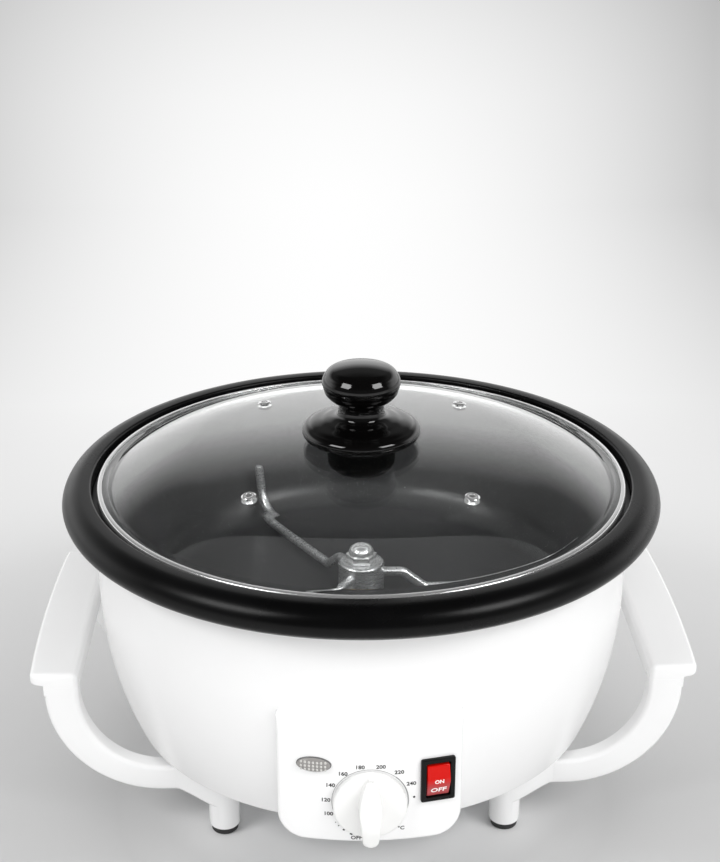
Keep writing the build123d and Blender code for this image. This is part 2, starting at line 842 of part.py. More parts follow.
def stirrer_arms():
    """Bent rods that sweep the pan's floor and turn up along its wall."""
    slope = (pan_radius - pan_floor_radius) / pan_depth
    bend_x = pan_floor_radius - arm_wall_gap - arm_radius
    root = hub_radius - arm_socket_depth + seat_gap
    route = [
        (root, arm_root_z),
        (arm_root_reach, arm_root_z),
        (arm_floor_start, arm_z),
        (bend_x, arm_z),
        (bend_x + slope * arm_upturn, arm_z + arm_upturn),
    ]
    bends = [arm_bend_radius, arm_bend_radius, pan_corner_radius]
    path = Plane.XZ * FilletPolyline(*route, radius=bends)
    section = Plane(origin=(root, 0, arm_root_z), z_dir=(1, 0, 0)) * Circle(arm_radius)
    rod = sweep(section, path=path)
    return group(Rot(0, 0, angle) * rod for angle in arm_angles())


def stirrer_nut():
    """Domed cap nut that holds the hub down."""
    nut = Pos(0, 0, hub_high) * extrude(RegularPolygon(stirrer_nut_radius, 6), stirrer_nut_height / 2)
    dome_radius = stirrer_nut_radius * cos(radians(30)) - stirrer_nut_edge
    nut += Pos(0, 0, hub_high) * Cylinder(
        dome_radius, stirrer_nut_height, align=(Align.CENTER, Align.CENTER, Align.MIN)
    )
    nut = fillet(nut.edges().group_by(Axis.Z)[-1], stirrer_nut_height / 2 - stirrer_nut_edge)
    bore_high = stirrer_nut_high - stirrer_nut_height / 4 + seat_gap
    return nut - disc(shaft_radius + running_gap, hub_high, bore_high)


# ================================================================ lid
def glass_slope_point():
    """Drop and slope of the dome where its crown meets its steeper outer part."""
    height = sqrt(glass_crown_radius**2 - glass_crown_reach**2)
    return glass_crown_radius - height, -glass_crown_reach / height


def glass_outline(depth):
    """Half outline of the dome's upper face lowered by a depth, closed far below it."""
    radius = glass_crown_reach
    drop, slope = glass_slope_point()
    apex = glass_apex - depth
    edge_top = glass_edge_top - depth
    flat_start = glass_radius - glass_edge_width
    return [
        TangentArc((0, apex), (radius, apex - drop), tangent=(1, 0)),
        TangentArc((radius, apex - drop), (flat_start, edge_top), tangent=(1, slope)),
        Line((flat_start, edge_top), (glass_radius, edge_top)),
        Line((glass_radius, edge_top), (glass_radius, edge_top - through)),
        Line((glass_radius, edge_top - through), (0, edge_top - through)),
        Line((0, edge_top - through), (0, apex)),
    ]


def eyelet_seats():
    """Frames on the glass's upper face, square to it, one for each eyelet."""
    seats = []
    for side in (-1, 1):
        for end in (-1, 1):
            flat = Rot(0, 0, lid_turn) * Pos(side * eyelet_across_x / 2, end * eyelet_across_y / 2)
            x, y = flat.position.X, flat.position.Y
            height = sqrt(glass_crown_radius**2 - x * x - y * y)
            top = glass_apex - glass_crown_radius + height
            seats.append(Plane(origin=(x, y, top), z_dir=(x, y, height)).location)
    return seats


def lid_glass():
    glass = turned(glass_outline(0.0)) - turned(glass_outline(glass_thickness))
    glass &= disc(glass_radius, glass_edge_top - glass_thickness, glass_apex)
    glass -= disc(knob_screw_radius + seat_gap, 0, glass_apex + glass_thickness)
    hole = disc(eyelet_hole_radius + eyelet_wall + seat_gap, -2 * glass_thickness, glass_thickness)
    return glass - fused(seat * hole for seat in eyelet_seats())


def lid_band():
    """Steel channel crimped round the edge of the glass."""
    low = pan_top
    inner = lid_radius - lid_band_lip
    band = ring(lid_radius, inner, low, lid_ring_z)
    return band - ring(
        lid_radius - lid_band_wall, inner - lid_band_lip, low + lid_band_wall, lid_ring_z - lid_band_wall
    )


def vent_eyelets():
    """Steel eyelets pressed into the glass to let steam out."""
    tube = eyelet_hole_radius + eyelet_wall
    sag = eyelet_flange_radius**2 / (2 * glass_crown_radius)
    low = -glass_thickness - seat_gap - sag
    body = disc(tube, low - eyelet_wall, seat_gap + eyelet_wall)
    body += disc(eyelet_flange_radius, seat_gap, seat_gap + eyelet_wall)
    body += disc(eyelet_flange_radius, low - eyelet_wall, low)
    body -= disc(eyelet_hole_radius, low - eyelet_wall, seat_gap + eyelet_wall)
    return group(seat * body for seat in eyelet_seats())


def lid_knob_cap():
    """Mushroom cap above the seam."""
    seam = (knob_cap_radius - knob_seam_inset, knob_seam_z)
    widest = (knob_cap_radius, knob_top - knob_cap_widest_drop)
    brow = (knob_cap_radius - knob_brow_inset, knob_top - knob_brow_drop)
    crown = (knob_crown_reach, knob_top - knob_crown_drop)
    outline = [
        Line((0, knob_seam_z), seam),
        ThreePointArc(seam, widest, brow),
        Spline(brow, crown, (0, knob_top), tangents=[(-0.5, 1.0), (-1, 0)]),
        Line((0, knob_top), (0, knob_seam_z)),
    ]
    bore_high = knob_seam_z + knob_screw_bite + blind_gap
    return turned(outline) - disc(knob_screw_radius + seat_gap, knob_seam_z, bore_high)


def lid_knob_body():
    """Neck and heat guard below the seam."""
    guard_top = knob_guard_z + knob_guard_thickness
    under_edge = (knob_guard_radius - knob_guard_edge, knob_guard_z)
    widest = (knob_guard_radius, knob_guard_z + knob_guard_widest)
    top_edge = (knob_guard_radius - knob_guard_edge, guard_top - knob_guard_top_drop)
    flare = (knob_flare_radius, guard_top + knob_flare_rise)
    neck_foot = (knob_neck_radius, guard_top + knob_guard_rise)
    neck_top = (knob_neck_radius - knob_neck_taper, knob_seam_z - knob_neck_drop)
    undercut = (knob_cap_radius - knob_undercut_inset, knob_seam_z - knob_undercut_drop)
    seam = (knob_cap_radius - knob_seam_inset, knob_seam_z)
    outline = [
        Line((0, knob_foot_z), (knob_foot_radius, knob_foot_z)),
        Line((knob_foot_radius, knob_foot_z), (knob_foot_radius, knob_guard_z)),
        Line((knob_foot_radius, knob_guard_z), under_edge),
        ThreePointArc(under_edge, widest, top_edge),
        Spline(top_edge, flare, neck_foot, tangents=[(-1, 0.75), (-0.35, 1)]),
        Line(neck_foot, neck_top),
        Spline(neck_top, undercut, seam, tangents=[(0.1, 1), (0.3, 1)]),
        Line(seam, (0, knob_seam_z)),
        Line((0, knob_seam_z), (0, knob_foot_z)),
    ]
    return turned(outline) - disc(knob_screw_radius + running_gap, knob_foot_z, knob_seam_z)


def under_glass(radius):
    """Height of the dome's lower face at a radius near its middle."""
    crown = glass_crown_radius
    return glass_apex - glass_thickness - (crown - sqrt(crown**2 - radius**2))


def lid_knob_gasket():
    """Soft washer between the knob's foot and the glass."""
    low = glass_apex - gasket_thickness
    washer = ring(knob_foot_radius - gasket_inset, knob_screw_radius + seat_gap, low, knob_foot_z)
    return washer - turned(glass_outline(0.0))


def lid_knob_retainer():
    """Boss under the glass that takes the clamping load."""
    high = under_glass(retainer_radius)
    boss = disc(retainer_radius, retainer_low, high)
    boss = fillet(boss.edges().group_by(Axis.Z)[0], retainer_edge_radius)
    boss -= disc(knob_screw_radius + seat_gap, retainer_low, high)
    return boss - disc(knob_screw_head_radius + seat_gap, retainer_low, retainer_low + retainer_recess)


def lid_knob_screw():
    seat = retainer_low + retainer_recess
    head = disc(knob_screw_head_radius, retainer_low + retainer_screw_inset, seat)
    return head + disc(knob_screw_radius, seat, knob_seam_z + knob_screw_bite)


# ================================================================ legs, feet, handles
def leg(x, y):
    """Round leg with a block that takes the end of the handle's strap."""
    side = 1 if x > 0 else -1
    half = leg_radius
    outline = Polyline(
        (leg_x, stand_height), (leg_block_end, stand_height), (leg_block_end, leg_block_low),
        (leg_x + leg_radius, leg_gusset_low), (leg_x, leg_gusset_low), close=True,
    )
    web = extrude(Plane.XZ * make_face(outline), half, both=True)
    if side < 0:
        web = mirror(web, Plane.YZ)
    body = Pos(0, y, 0) * web + disc(leg_radius, pad_thickness, stand_height, x, y)
    body -= disc(screw_radius, base_top - leg_screw_length - blind_gap, stand_height, x, y)
    stem_high = pad_thickness + pad_stem_length + blind_gap
    body -= disc(pad_stem_radius + running_gap, pad_thickness, stem_high, x, y)
    body -= strap_end(x, y, seat_gap)
    place = (side * handle_screw_x, strap_mid(y))
    body -= disc(screw_head_radius + seat_gap, 0, handle_screw_seat, *place)
    return body - disc(screw_radius + seat_gap, 0, strap_top, *place)


def strap_mid(y):
    """Middle of a strap, on the side of Y that the leg is on."""
    return (handle_half_length - strap_depth / 2) * (1 if y > 0 else -1)


def strap_end(x, y, gap):
    """Tenon at the end of a strap, or its pocket when a gap is given."""
    outer = leg_block_end + gap
    inner = leg_block_end - tenon_length - gap
    middle = strap_mid(y)
    half = strap_depth / 2 - tenon_inset + gap
    low = strap_bottom + tenon_inset - gap
    high = strap_top - tenon_inset + gap
    if x > 0:
        return block(inner, outer, middle - half, middle + half, low, high)
    return block(-outer, -inner, middle - half, middle + half, low, high)


def foot_pads():
    pad = disc(pad_radius, 0, pad_thickness)
    pad = fillet(pad.edges().group_by(Axis.Z)[0], pad_edge)
    pad += disc(pad_stem_radius, pad_thickness, pad_thickness + pad_stem_length)
    return group(Pos(x, y) * pad for x, y in leg_places())


def leg_screws():
    """Screws down through the base plate into the legs."""
    return group(screw_down(base_top, leg_screw_length, x, y) for x, y in leg_places())


def handle_screws():
    """Screws up through the leg blocks into the straps' tenons."""
    length = handle_screw_length
    return group(
        screw_up(handle_screw_seat, length, side * handle_screw_x, strap_mid(end))
        for end in (-1, 1)
        for side in (-1, 1)
    )


def handle(side):
    """Grip with two straps that curve down and in under the housing."""
    half = handle_half_length
    top = handle_top
    under = top - grip_thickness
    strap_end_z = under + grip_lip_rise
    section = Polyline(
        (strap_inner, under), (strap_outer, under), (strap_outer, strap_end_z),
        (handle_reach, top - grip_lip_thickness), (handle_reach, top), (strap_inner, top), close=True,
    )
    bar = extrude(Plane.XZ * make_face(section), half, both=True)
    bow = ThreePointArc(
        (handle_reach - handle_bow, -half), (handle_reach, 0), (handle_reach - handle_bow, half)
    )
    plan = make_face(
        [
            bow,
            Line((handle_reach - handle_bow, half), (strap_inner, half)),
            Line((strap_inner, half), (strap_inner, -half)),
            Line((strap_inner, -half), (handle_reach - handle_bow, -half)),
        ]
    )
    outer_corners = plan.vertices().group_by(Axis.X)[-1]
    plan = fillet(outer_corners, grip_corner_radius)
    grip = bar & extrude(plan, top + through)
    whole = fillet(grip.edges().group_by(Axis.Z)[-1], grip_edge_radius)
    reach = strap_outer - strap_centre_x
    inner_reach = strap_inner - strap_centre_x
    centre = (strap_centre_x, strap_end_z)
    outer_curve = EllipticalCenterArc(
        centre, reach, strap_end_z - strap_bottom, start_angle=-quarter_turn, arc_size=quarter_turn
    )
    inner_curve = EllipticalCenterArc(
        centre, inner_reach, strap_end_z - strap_top, start_angle=-quarter_turn, arc_size=quarter_turn
    )
    strap_face = make_face(
        [
            outer_curve,
            Line((strap_outer, strap_end_z), (strap_inner, strap_end_z)),
            inner_curve,
            Line((strap_centre_x, strap_top), (leg_block_end, strap_top)),
            Line((leg_block_end, strap_top), (leg_block_end, strap_bottom)),
            Line((leg_block_end, strap_bottom), (strap_centre_x, strap_bottom)),
        ]
    )
    for end in (-1, 1):
        strap = extrude(Plane.XZ * strap_face, strap_depth / 2, both=True)
        whole += Pos(0, end * (half - strap_depth / 2), 0) * strap
        whole += strap_end(1, end, 0.0)
        screw_end = handle_screw_seat + handle_screw_length
        whole -= disc(screw_radius, 0, screw_end, handle_screw_x, strap_mid(end))
    if side < 0:
        whole = mirror(whole, Plane.YZ)
    return whole


# ================================================================ control box
def box_outline(inset):
    """Front view of the box, set in from its outer edge."""
    height = box_top - box_bottom - 2 * inset
    width = 2 * (box_half_width - inset)
    face = Pos(0, (box_top + box_bottom) / 2) * Rectangle(width, height)
    low_corners = face.vertices().group_by(Axis.Y)[0]
    face = fillet(low_corners, box_corner_radius - inset)
    high_corners = face.vertices().group_by(Axis.Y)[-1]
    return fillet(high_corners, box_top_corner_radius - inset)


def box_block(inset):
    """Box with a face curved about the vertical axis, before its back is fitted."""
    prism = extrude(Plane.XZ * box_outline(inset), box_face_radius + through)
    return prism & disc(box_face_radius - inset, 0, housing_top)


def box_cutters():
    """Holes for the bushing, the switch and the lamp."""
    dial = panel_frame(0.0, dial_z, box_face_radius)
    switch = panel_frame(switch_azimuth, switch_z, box_face_radius)
    lamp = panel_frame(lamp_azimuth, lamp_z, box_face_radius)
    depth = 4 * box_wall
    body = (switch_body_width + 2 * seat_gap, switch_body_height + 2 * seat_gap)
    width = lamp_width - 2 * lamp_body_inset + 2 * seat_gap
    height = lamp_height - 2 * lamp_body_inset + 2 * seat_gap
    return fused(
        [
            dial * disc(bushing_radius + seat_gap, -depth, depth),
            switch * Pos(0, 0, -depth) * extrude(Rectangle(*body), 2 * depth),
            lamp * Pos(0, 0, -depth) * extrude(Ellipse(width / 2, height / 2), 2 * depth),
        ]
    )


def control_box():
    outer = box_block(0.0)
    front = outer.faces().filter_by(GeomType.CYLINDER).sort_by(Axis.Y)[0]
    outer = fillet(front.edges(), box_edge_radius)
    bevel_inner = box_face_radius - box_top_chamfer
    bevel_outer = box_face_radius + box_top_chamfer
    bevel = Polyline(
        (bevel_inner, box_top), (bevel_outer, box_top - 2 * box_top_chamfer),
        (bevel_outer, box_top + box_top_chamfer), (bevel_inner, box_top + box_top_chamfer), close=True,
    )
    outer -= turned(bevel)
    hollow = box_block(box_wall)
    shell = outer - hollow
    for place in box_screw_places():
        shell += place * disc(box_boss_radius, 0, box_face_radius) & outer
        shell -= place * disc(screw_radius, 0, box_screw_seat() + box_screw_length)
    shell -= box_cutters()
    return shell - housing_space(-seat_gap)


def wall_radius(height, inset):
    """Radius of the bowl's wall at a height below its upright part."""
    drop = housing_top - housing_straight - stand_height
    inward = housing_top_radius - housing_bottom_radius
    arc_radius = (drop * drop + inward * inward) / (2 * inward)
    below = housing_top - housing_straight - height
    return housing_top_radius - arc_radius + sqrt(arc_radius**2 - below**2) - inset


def box_screw_seat():
    """Distance from the axis plane to the flat seat of a box screw's head."""
    corner = wall_radius(box_screw_z - box_pad_radius, housing_wall)
    return sqrt(corner**2 - (box_screw_x + box_pad_radius) ** 2) - box_pad_rise


def box_screw_places():
    """Frames of the box's screws, with Z towards the panel."""
    return [Pos(x, 0, box_screw_z) * Rot(90, 0, 0) for x in (-box_screw_x, box_screw_x)]


def box_screws():
    """Screws from inside the housing into the box's bosses."""
    seat = box_screw_seat()
    screw = disc(screw_head_radius, seat - screw_head_height, seat)
    screw += disc(screw_radius, seat, seat + box_screw_length)
    return group(place * screw for place in box_screw_places())


# ================================================================ thermostat
def dial_frame():
    return panel_frame(0.0, dial_z, box_face_radius)


def thermostat_body():
    front = -thermostat_setback
    body = extrude(Rectangle(thermostat_width, thermostat_height), -thermostat_depth)
    body = Pos(0, 0, front) * body
    shoulder = disc(thermostat_shoulder_radius, front, -box_wall - thermostat_panel_gap)
    bushing = disc(bushing_radius, front, bushing_reach)
    bore_depth = front - thermostat_shaft_depth
    whole = body + shoulder + bushing - disc(dial_shaft_radius + running_gap, bore_depth, bushing_reach)
    return dial_frame() * whole


def thermostat_nut():
    return dial_frame() * hex_nut(dial_nut_radius, 0.0, dial_nut_thickness, bushing_radius + running_gap)


def thermostat_shaft():
    low = -thermostat_setback - thermostat_shaft_depth + running_gap
    high = dial_air_gap + dial_bore_depth - seat_gap
    shaft = disc(dial_shaft_radius, low, high)
    flat = block(
        dial_shaft_radius - shaft_flat_depth, through, -dial_shaft_radius, dial_shaft_radius,
        bushing_reach + moving_gap, high,
    )
    return dial_frame() * (shaft - flat)


def knob_rib():
    """Tapered rib across the skirt; its wide round end is the pointer."""
    narrow = Pos(0, dial_rib_top_reach - dial_rib_top_radius) * Circle(dial_rib_top_radius)
    wide = Pos(0, dial_rib_tip_radius - dial_rib_tip_reach) * Circle(dial_rib_tip_radius)
    outline = make_hull(narrow.edges() + wide.edges())
    low = dial_air_gap + dial_recess_depth
    rib = Pos(0, 0, low) * extrude(outline, dial_height - low)
    slope = Pos(0, dial_rib_top_reach, dial_rib_end_height) * Rot(-dial_rib_slope, 0, 0)
    rib -= slope * block(-through, through, -through, through, 0, through)
    crest = rib.faces().sort_by(Axis.Z)[-1]
    return fillet(crest.edges(), dial_rib_edge)


def thermostat_knob():
    """Round skirt with the rib that the fingers hold."""
    base = dial_air_gap
    roof = base + dial_recess_depth
    skirt = disc(dial_skirt_radius, base, base + dial_skirt_thickness)
    skirt = fillet(skirt.edges().group_by(Axis.Z)[-1], dial_skirt_edge)
    hub = disc(dial_shaft_radius + dial_hub_wall, roof, base + dial_bore_depth + dial_hub_wall)
    knob = skirt + knob_rib() + hub
    knob -= disc(dial_recess_radius, base, roof)
    bore = disc(dial_shaft_radius + running_gap, base, base + dial_bore_depth)
    bore -= block(
        dial_shaft_radius - shaft_flat_depth + running_gap, through, -through, through,
        roof + moving_gap, base + dial_bore_depth,
    )
    return dial_frame() * (knob - bore)


def thermostat_bulb():
    """Sensing bulb under the pan with its thin tube down to the thermostat."""
    bulb = Pos(-bulb_length / 2, -bulb_y, bulb_z) * Rot(0, 90, 0) * disc(bulb_radius, 0, bulb_length)
    back_y = -(box_face_radius - thermostat_setback - thermostat_depth)
    side_x = bulb_length / 2 + capillary_run
    end_x = thermostat_width / 4
    route = [
        (bulb_length / 2 - capillary_radius, -bulb_y, bulb_z),
        (side_x, -bulb_y, bulb_z),
        (side_x, back_y + capillary_run, bulb_z - capillary_run / 2),
        (side_x, back_y + capillary_run, dial_z + capillary_run),
        (end_x, back_y + capillary_run, dial_z),
        (end_x, back_y, dial_z),
    ]
    path = FilletPolyline(*route, radius=capillary_bend)
    start = Plane(origin=route[0], z_dir=(1, 0, 0))
    return bulb + sweep(start * Circle(capillary_radius), path=path)


def bulb_clip():
    """Strap that holds the bulb up under the pan."""
    section = clamp_section(bulb_radius, bulb_radius + seat_gap, clamp_thickness, clamp_foot, False)
    strap = extrude(Plane.YZ * section, clamp_width / 2, both=True)
    return Pos(0, -bulb_y, bulb_z) * strap


# ================================================================ switch
def switch_frame():
    return panel_frame(switch_azimuth, switch_z, box_face_radius)


def switch_housing():
    bezel = extrude(Rectangle(bezel_width, bezel_height), bezel_thickness)
    bezel = fillet(bezel.edges().filter_by(Axis.Z), bezel_corner_radius)
    bezel = chamfer(bezel.edges().group_by(Axis.Z)[-1], bezel_chamfer)
    body = Pos(0, 0, -switch_body_depth) * extrude(
        Rectangle(switch_body_width, switch_body_height), switch_body_depth
    )
    whole = bezel + body
    well = (rocker_width + 2 * moving_gap, rocker_length + 2 * (moving_gap + rocker_swing_gap))
    floor = rocker_depth + rocker_floor_gap
    whole -= Pos(0, 0, -floor) * extrude(Rectangle(*well), floor + bezel_thickness)
    pivot_reach = rocker_width / 2 + rocker_pivot_length + moving_gap
    pivot = Pos(0, 0, -rocker_pivot_depth) * Rot(0, 90, 0)
    whole -= pivot * disc(rocker_pivot_radius + running_gap, -pivot_reach, pivot_reach)
    return switch_frame() * whole


def rocker_body(tilt):
    """Rocker with a crowned face and two pivot pins, tipped about its pins."""
    half = rocker_length / 2
    edge = rocker_edge_height
    side = -rocker_side_depth
    keel = rocker_keel_half
    outline = [
        Line((-half, side), (-half, edge)),
        ThreePointArc((-half, edge), (0, bezel_thickness + rocker_crown), (half, edge)),
        Line((half, edge), (half, side)),
        Line((half, side), (keel, -rocker_depth)),
        Line((keel, -rocker_depth), (-keel, -rocker_depth)),
        Line((-keel, -rocker_depth), (-half, side)),
    ]
    profile = Plane.YZ * make_face(outline)
    body = extrude(profile, rocker_width / 2, both=True)
    pin_reach = rocker_width / 2 + rocker_pivot_length
    pins = Pos(0, 0, -rocker_pivot_depth) * Rot(0, 90, 0) * disc(rocker_pivot_radius, -pin_reach, pin_reach)
    pivot = Pos(0, 0, -rocker_pivot_depth)
    lift = Pos(0, 0, rocker_pivot_depth)
    return pivot * Rot(tilt, 0, 0) * lift * (body + pins)


def switch_rocker():
    return switch_frame() * rocker_body(rocker_rest_tilt)


def switch_terminals():
    blades = []
    for step in (-1, 0, 1):
        blade = block(
            -terminal_width / 2, terminal_width / 2, -terminal_thickness / 2, terminal_thickness / 2,
            -switch_body_depth - terminal_length, -switch_body_depth,
        )
        blades.append(switch_frame() * Pos(0, step * terminal_pitch, 0) * blade)
    return group(blades)


# ================================================================ pilot lamp
def lamp_frame():
    return panel_frame(lamp_azimuth, lamp_z, box_face_radius)


def lamp_lens():
    """Oval lens with a shallow crown and a hollow stem for the bulb."""
    face = Ellipse(lamp_width / 2, lamp_height / 2)
    crown_size = (lamp_width / 2 - lamp_crown_inset_across, lamp_height / 2 - lamp_crown_inset_up)
    rim = extrude(face, lamp_flange)
    crown = Pos(0, 0, lamp_flange) * loft(
        [face, Pos(0, 0, lamp_crown) * Ellipse(*crown_size)]
    )
    stem_size = (lamp_width / 2 - lamp_body_inset, lamp_height / 2 - lamp_body_inset)
    stem = Pos(0, 0, -lamp_body_depth) * extrude(Ellipse(*stem_size), lamp_body_depth)
    cavity_size = (stem_size[0] - lamp_wall, stem_size[1] - lamp_wall_up)
    cavity = Pos(0, 0, -lamp_body_depth) * extrude(Ellipse(*cavity_size), lamp_body_depth)
    return lamp_frame() * (rim + crown + stem - cavity)


def lamp_clip():
    """Spring plate pushed over the lens's stem behind the panel."""
    outer = (lamp_width / 2 + lamp_clip_margin, lamp_height / 2 + lamp_clip_margin)
    stem = (
        lamp_width / 2 - lamp_body_inset + running_gap,
        lamp_height / 2 - lamp_body_inset + running_gap,
    )
    back = box_wall + lamp_clip_gap + lamp_clip_thickness
    plate = Pos(0, 0, -back) * extrude(Rectangle(2 * outer[0], 2 * outer[1]), lamp_clip_thickness)
    hole = Pos(0, 0, -lamp_body_depth) * extrude(Ellipse(*stem), lamp_body_depth)
    return lamp_frame() * (plate - hole)


def lamp_bulb():
    """Neon bulb lying inside the stem, with its base filling the stem's mouth."""
    bulb = Pos(-lamp_bulb_length / 2, 0, -lamp_body_depth / 2) * Rot(0, 90, 0)
    bulb = bulb * disc(lamp_bulb_radius, 0, lamp_bulb_length)
    size = (
        lamp_width / 2 - lamp_body_inset - lamp_wall - seat_gap,
        lamp_height / 2 - lamp_body_inset - lamp_wall_up - seat_gap,
    )
    plug_depth = (lamp_body_depth - lamp_bulb_radius) / 2
    plug = Pos(0, 0, -lamp_body_depth) * extrude(Ellipse(*size), plug_depth)
    return lamp_frame() * (bulb + plug)


# ================================================================ wiring pieces
def gland_hole():
    """Round hole through the rear wall for the cord bushing."""
    return Pos(0, 0, gland_z) * Rot(-90, 0, 0) * disc(gland_body_radius + seat_gap, 0, box_face_radius)


def cord_gland():
    """Bushing in the rear wall that the mains cord leaves through."""
    wall = wall_radius(gland_z, 0.0)
    low = wall - housing_wall - gland_tail
    high = wall + gland_flange_thickness + gland_nose
    rearward = Pos(0, 0, gland_z) * Rot(-90, 0, 0)
    nose = disc(gland_body_radius, wall, high)
    nose = chamfer(nose.edges().group_by(Axis.Z)[-1], gland_chamfer)
    flange = disc(gland_flange_radius, wall - gland_tail, wall + gland_flange_thickness)
    outside = rearward * (nose + flange) - housing_space(-seat_gap)
    gland = outside + rearward * disc(gland_body_radius, low, wall)
    return gland - rearward * disc(gland_bore_radius, 0, high)


def terminal_block():
    half_x = terminal_block_length / 2
    half_y = terminal_block_width / 2
    x, y = terminal_block_x, terminal_block_y
    top = base_top + terminal_block_height
    body = block(x - half_x, x + half_x, y - half_y, y + half_y, base_top, top)
    for way in range(block_way_count):
        hole_x = x + (way - (block_way_count - 1) / 2) * block_way_pitch
        for row in (-1, 1):
            body -= disc(block_hole_radius, top - block_hole_depth, top, hole_x, y + row * block_row_reach)
    screw_high = stand_height + base_screw_length + blind_gap
    return body - disc(screw_radius, base_top, screw_high, x, y)


def thermal_fuse():
    """One-shot fuse that lies against the heater plate."""
    along = Pos(0, -fuse_circle_radius, fuse_z) * Rot(0, 90, 0)
    body = disc(fuse_radius, -fuse_length / 2, fuse_length / 2)
    leads = disc(fuse_lead_radius, -fuse_length, fuse_length)
    return along * (body + leads)


def fuse_clip():
    section = clamp_section(fuse_radius, fuse_radius + seat_gap, fuse_clip_thickness, clamp_foot, False)
    strap = extrude(Plane.YZ * mirror(section, Plane.YZ), fuse_clip_width / 2, both=True)
    return Pos(0, -fuse_circle_radius, fuse_z) * strap


# ================================================================ the list of nodes
leg_names = ["front_left", "front_right", "rear_left", "rear_right"]
nodes = {
    "outer_housing": outer_housing(),
    "base_plate": base_plate(),
    "base_screws": base_screws(),
    "rim_ring": rim_ring(),
    "roasting_pan": roasting_pan(),
    "heater_plate": heater_plate(),
    "heating_element": heating_element(),
    "heater_clamps": heater_clamps(),
    "heat_shield": heat_shield(),
    "tie_rods": tie_rods(),
    "spacer_tubes": spacer_tubes(),
    "tie_nuts": tie_nuts(),
    "motor_case": motor_case(),
    "motor_cover": motor_cover(),
    "motor_bracket": motor_bracket(),
    "motor_screws": motor_screws(),
    "bracket_screws": bracket_screws(),
    "motor_shaft": motor_shaft(),
    "shaft_coupler": shaft_coupler(),
    "drive_shaft": drive_shaft(),
    "shaft_bush": shaft_bush(),
    "bush_nut": bush_nut(),
    "stirrer_hub": stirrer_hub(),
    "stirrer_arms": stirrer_arms(),
    "stirrer_nut": stirrer_nut(),
    "lid_glass": lid_glass(),
    "lid_band": lid_band(),
    "vent_eyelets": vent_eyelets(),
    "lid_knob_cap": lid_knob_cap(),
    "lid_knob_body": lid_knob_body(),
    "lid_knob_gasket": lid_knob_gasket(),
    "lid_knob_retainer": lid_knob_retainer(),
    "lid_knob_screw": lid_knob_screw(),
    "handle_left": handle(-1),
    "handle_right": handle(1),
    "handle_screws": handle_screws(),
    "leg_screws": leg_screws(),
    "foot_pads": foot_pads(),
    "control_box": control_box(),
    "box_screws": box_screws(),
    "thermostat_body": thermostat_body(),
    "thermostat_nut": thermostat_nut(),
    "thermostat_shaft": thermostat_shaft(),
    "thermostat_knob": thermostat_knob(),
    "thermostat_bulb": thermostat_bulb(),
    "bulb_clip": bulb_clip(),
    "switch_housing": switch_housing(),
    "switch_rocker": switch_rocker(),
    "switch_terminals": switch_terminals(),
    "lamp_lens": lamp_lens(),
    "lamp_clip": lamp_clip(),
    "lamp_bulb": lamp_bulb(),
    "cord_gland": cord_gland(),
    "terminal_block": terminal_block(),
    "thermal_fuse": thermal_fuse(),
    "fuse_clip": fuse_clip(),
}
for name, (x, y) in zip(leg_names, leg_places()):
    nodes["leg_" + name] = leg(x, y)

os.makedirs("parts", exist_ok=True)
for name, shape in nodes.items():
    export_step(Pos(0, axis_y, 0) * shape, f"parts/{name}.step")
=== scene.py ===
"""Dressed countertop coffee bean roaster: meshes, finishes, light and camera."""

from math import atan2, ceil, cos, hypot, pi, radians, sin, sqrt, tan

import bmesh
import bpy
from bpy.props import FloatProperty, FloatVectorProperty, PointerProperty
from bpy.types import Operator, Panel, PropertyGroup
from mathutils import Matrix, Vector


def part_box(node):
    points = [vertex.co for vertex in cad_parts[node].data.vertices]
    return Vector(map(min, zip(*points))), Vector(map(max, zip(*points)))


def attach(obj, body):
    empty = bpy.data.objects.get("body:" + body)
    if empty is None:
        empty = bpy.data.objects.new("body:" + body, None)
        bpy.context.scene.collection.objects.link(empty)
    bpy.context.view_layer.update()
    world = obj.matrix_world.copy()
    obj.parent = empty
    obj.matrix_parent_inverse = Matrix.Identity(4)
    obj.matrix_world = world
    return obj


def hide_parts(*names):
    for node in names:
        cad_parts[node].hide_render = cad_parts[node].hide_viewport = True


bl_info = {
    "name": "Coffee bean roaster",
    "version": (1, 0, 0),
    "blender": (4, 5, 0),
    "location": "3D View > Sidebar > Roaster",
    "description": "Builds the dressed parts of a countertop coffee bean roaster",
    "category": "Object",
}

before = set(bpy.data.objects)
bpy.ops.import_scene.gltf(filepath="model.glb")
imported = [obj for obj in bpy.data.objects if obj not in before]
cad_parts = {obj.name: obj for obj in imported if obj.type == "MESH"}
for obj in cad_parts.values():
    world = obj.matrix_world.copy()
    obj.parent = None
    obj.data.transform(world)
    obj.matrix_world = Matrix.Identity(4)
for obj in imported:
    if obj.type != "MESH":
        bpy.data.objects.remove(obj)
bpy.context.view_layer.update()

# Shapes are drawn in millimetres about the pan's axis, then put into the frame in metres.
MM = 0.001
RIM_LOW, RIM_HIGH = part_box("rim_ring")
AXIS_Y = (RIM_LOW.y + RIM_HIGH.y) / 2
RECORD_SLOTS = {name: node.material_slots[0].material.name for name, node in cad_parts.items()}
TO_FRAME = Matrix.Translation((0.0, AXIS_Y, 0.0)) @ Matrix.Scale(MM, 4)

TURNS = 192  # steps round a large turned piece
FINE_TURNS = 96  # steps round a small turned piece
EDGE_STEPS = 4  # steps of a prism's rounded edge
SMOOTH_ANGLE = radians(32.0)  # edges turned by more than this are sharp
WELD = 0.0004  # points nearer than this are one, in millimetres
ON_AXIS = 1e-6  # a radius below this is a point on the axis
ROLLED = (40.0, 1600.0, 1600.0)  # waves per metre of a rolled sheet's scratches

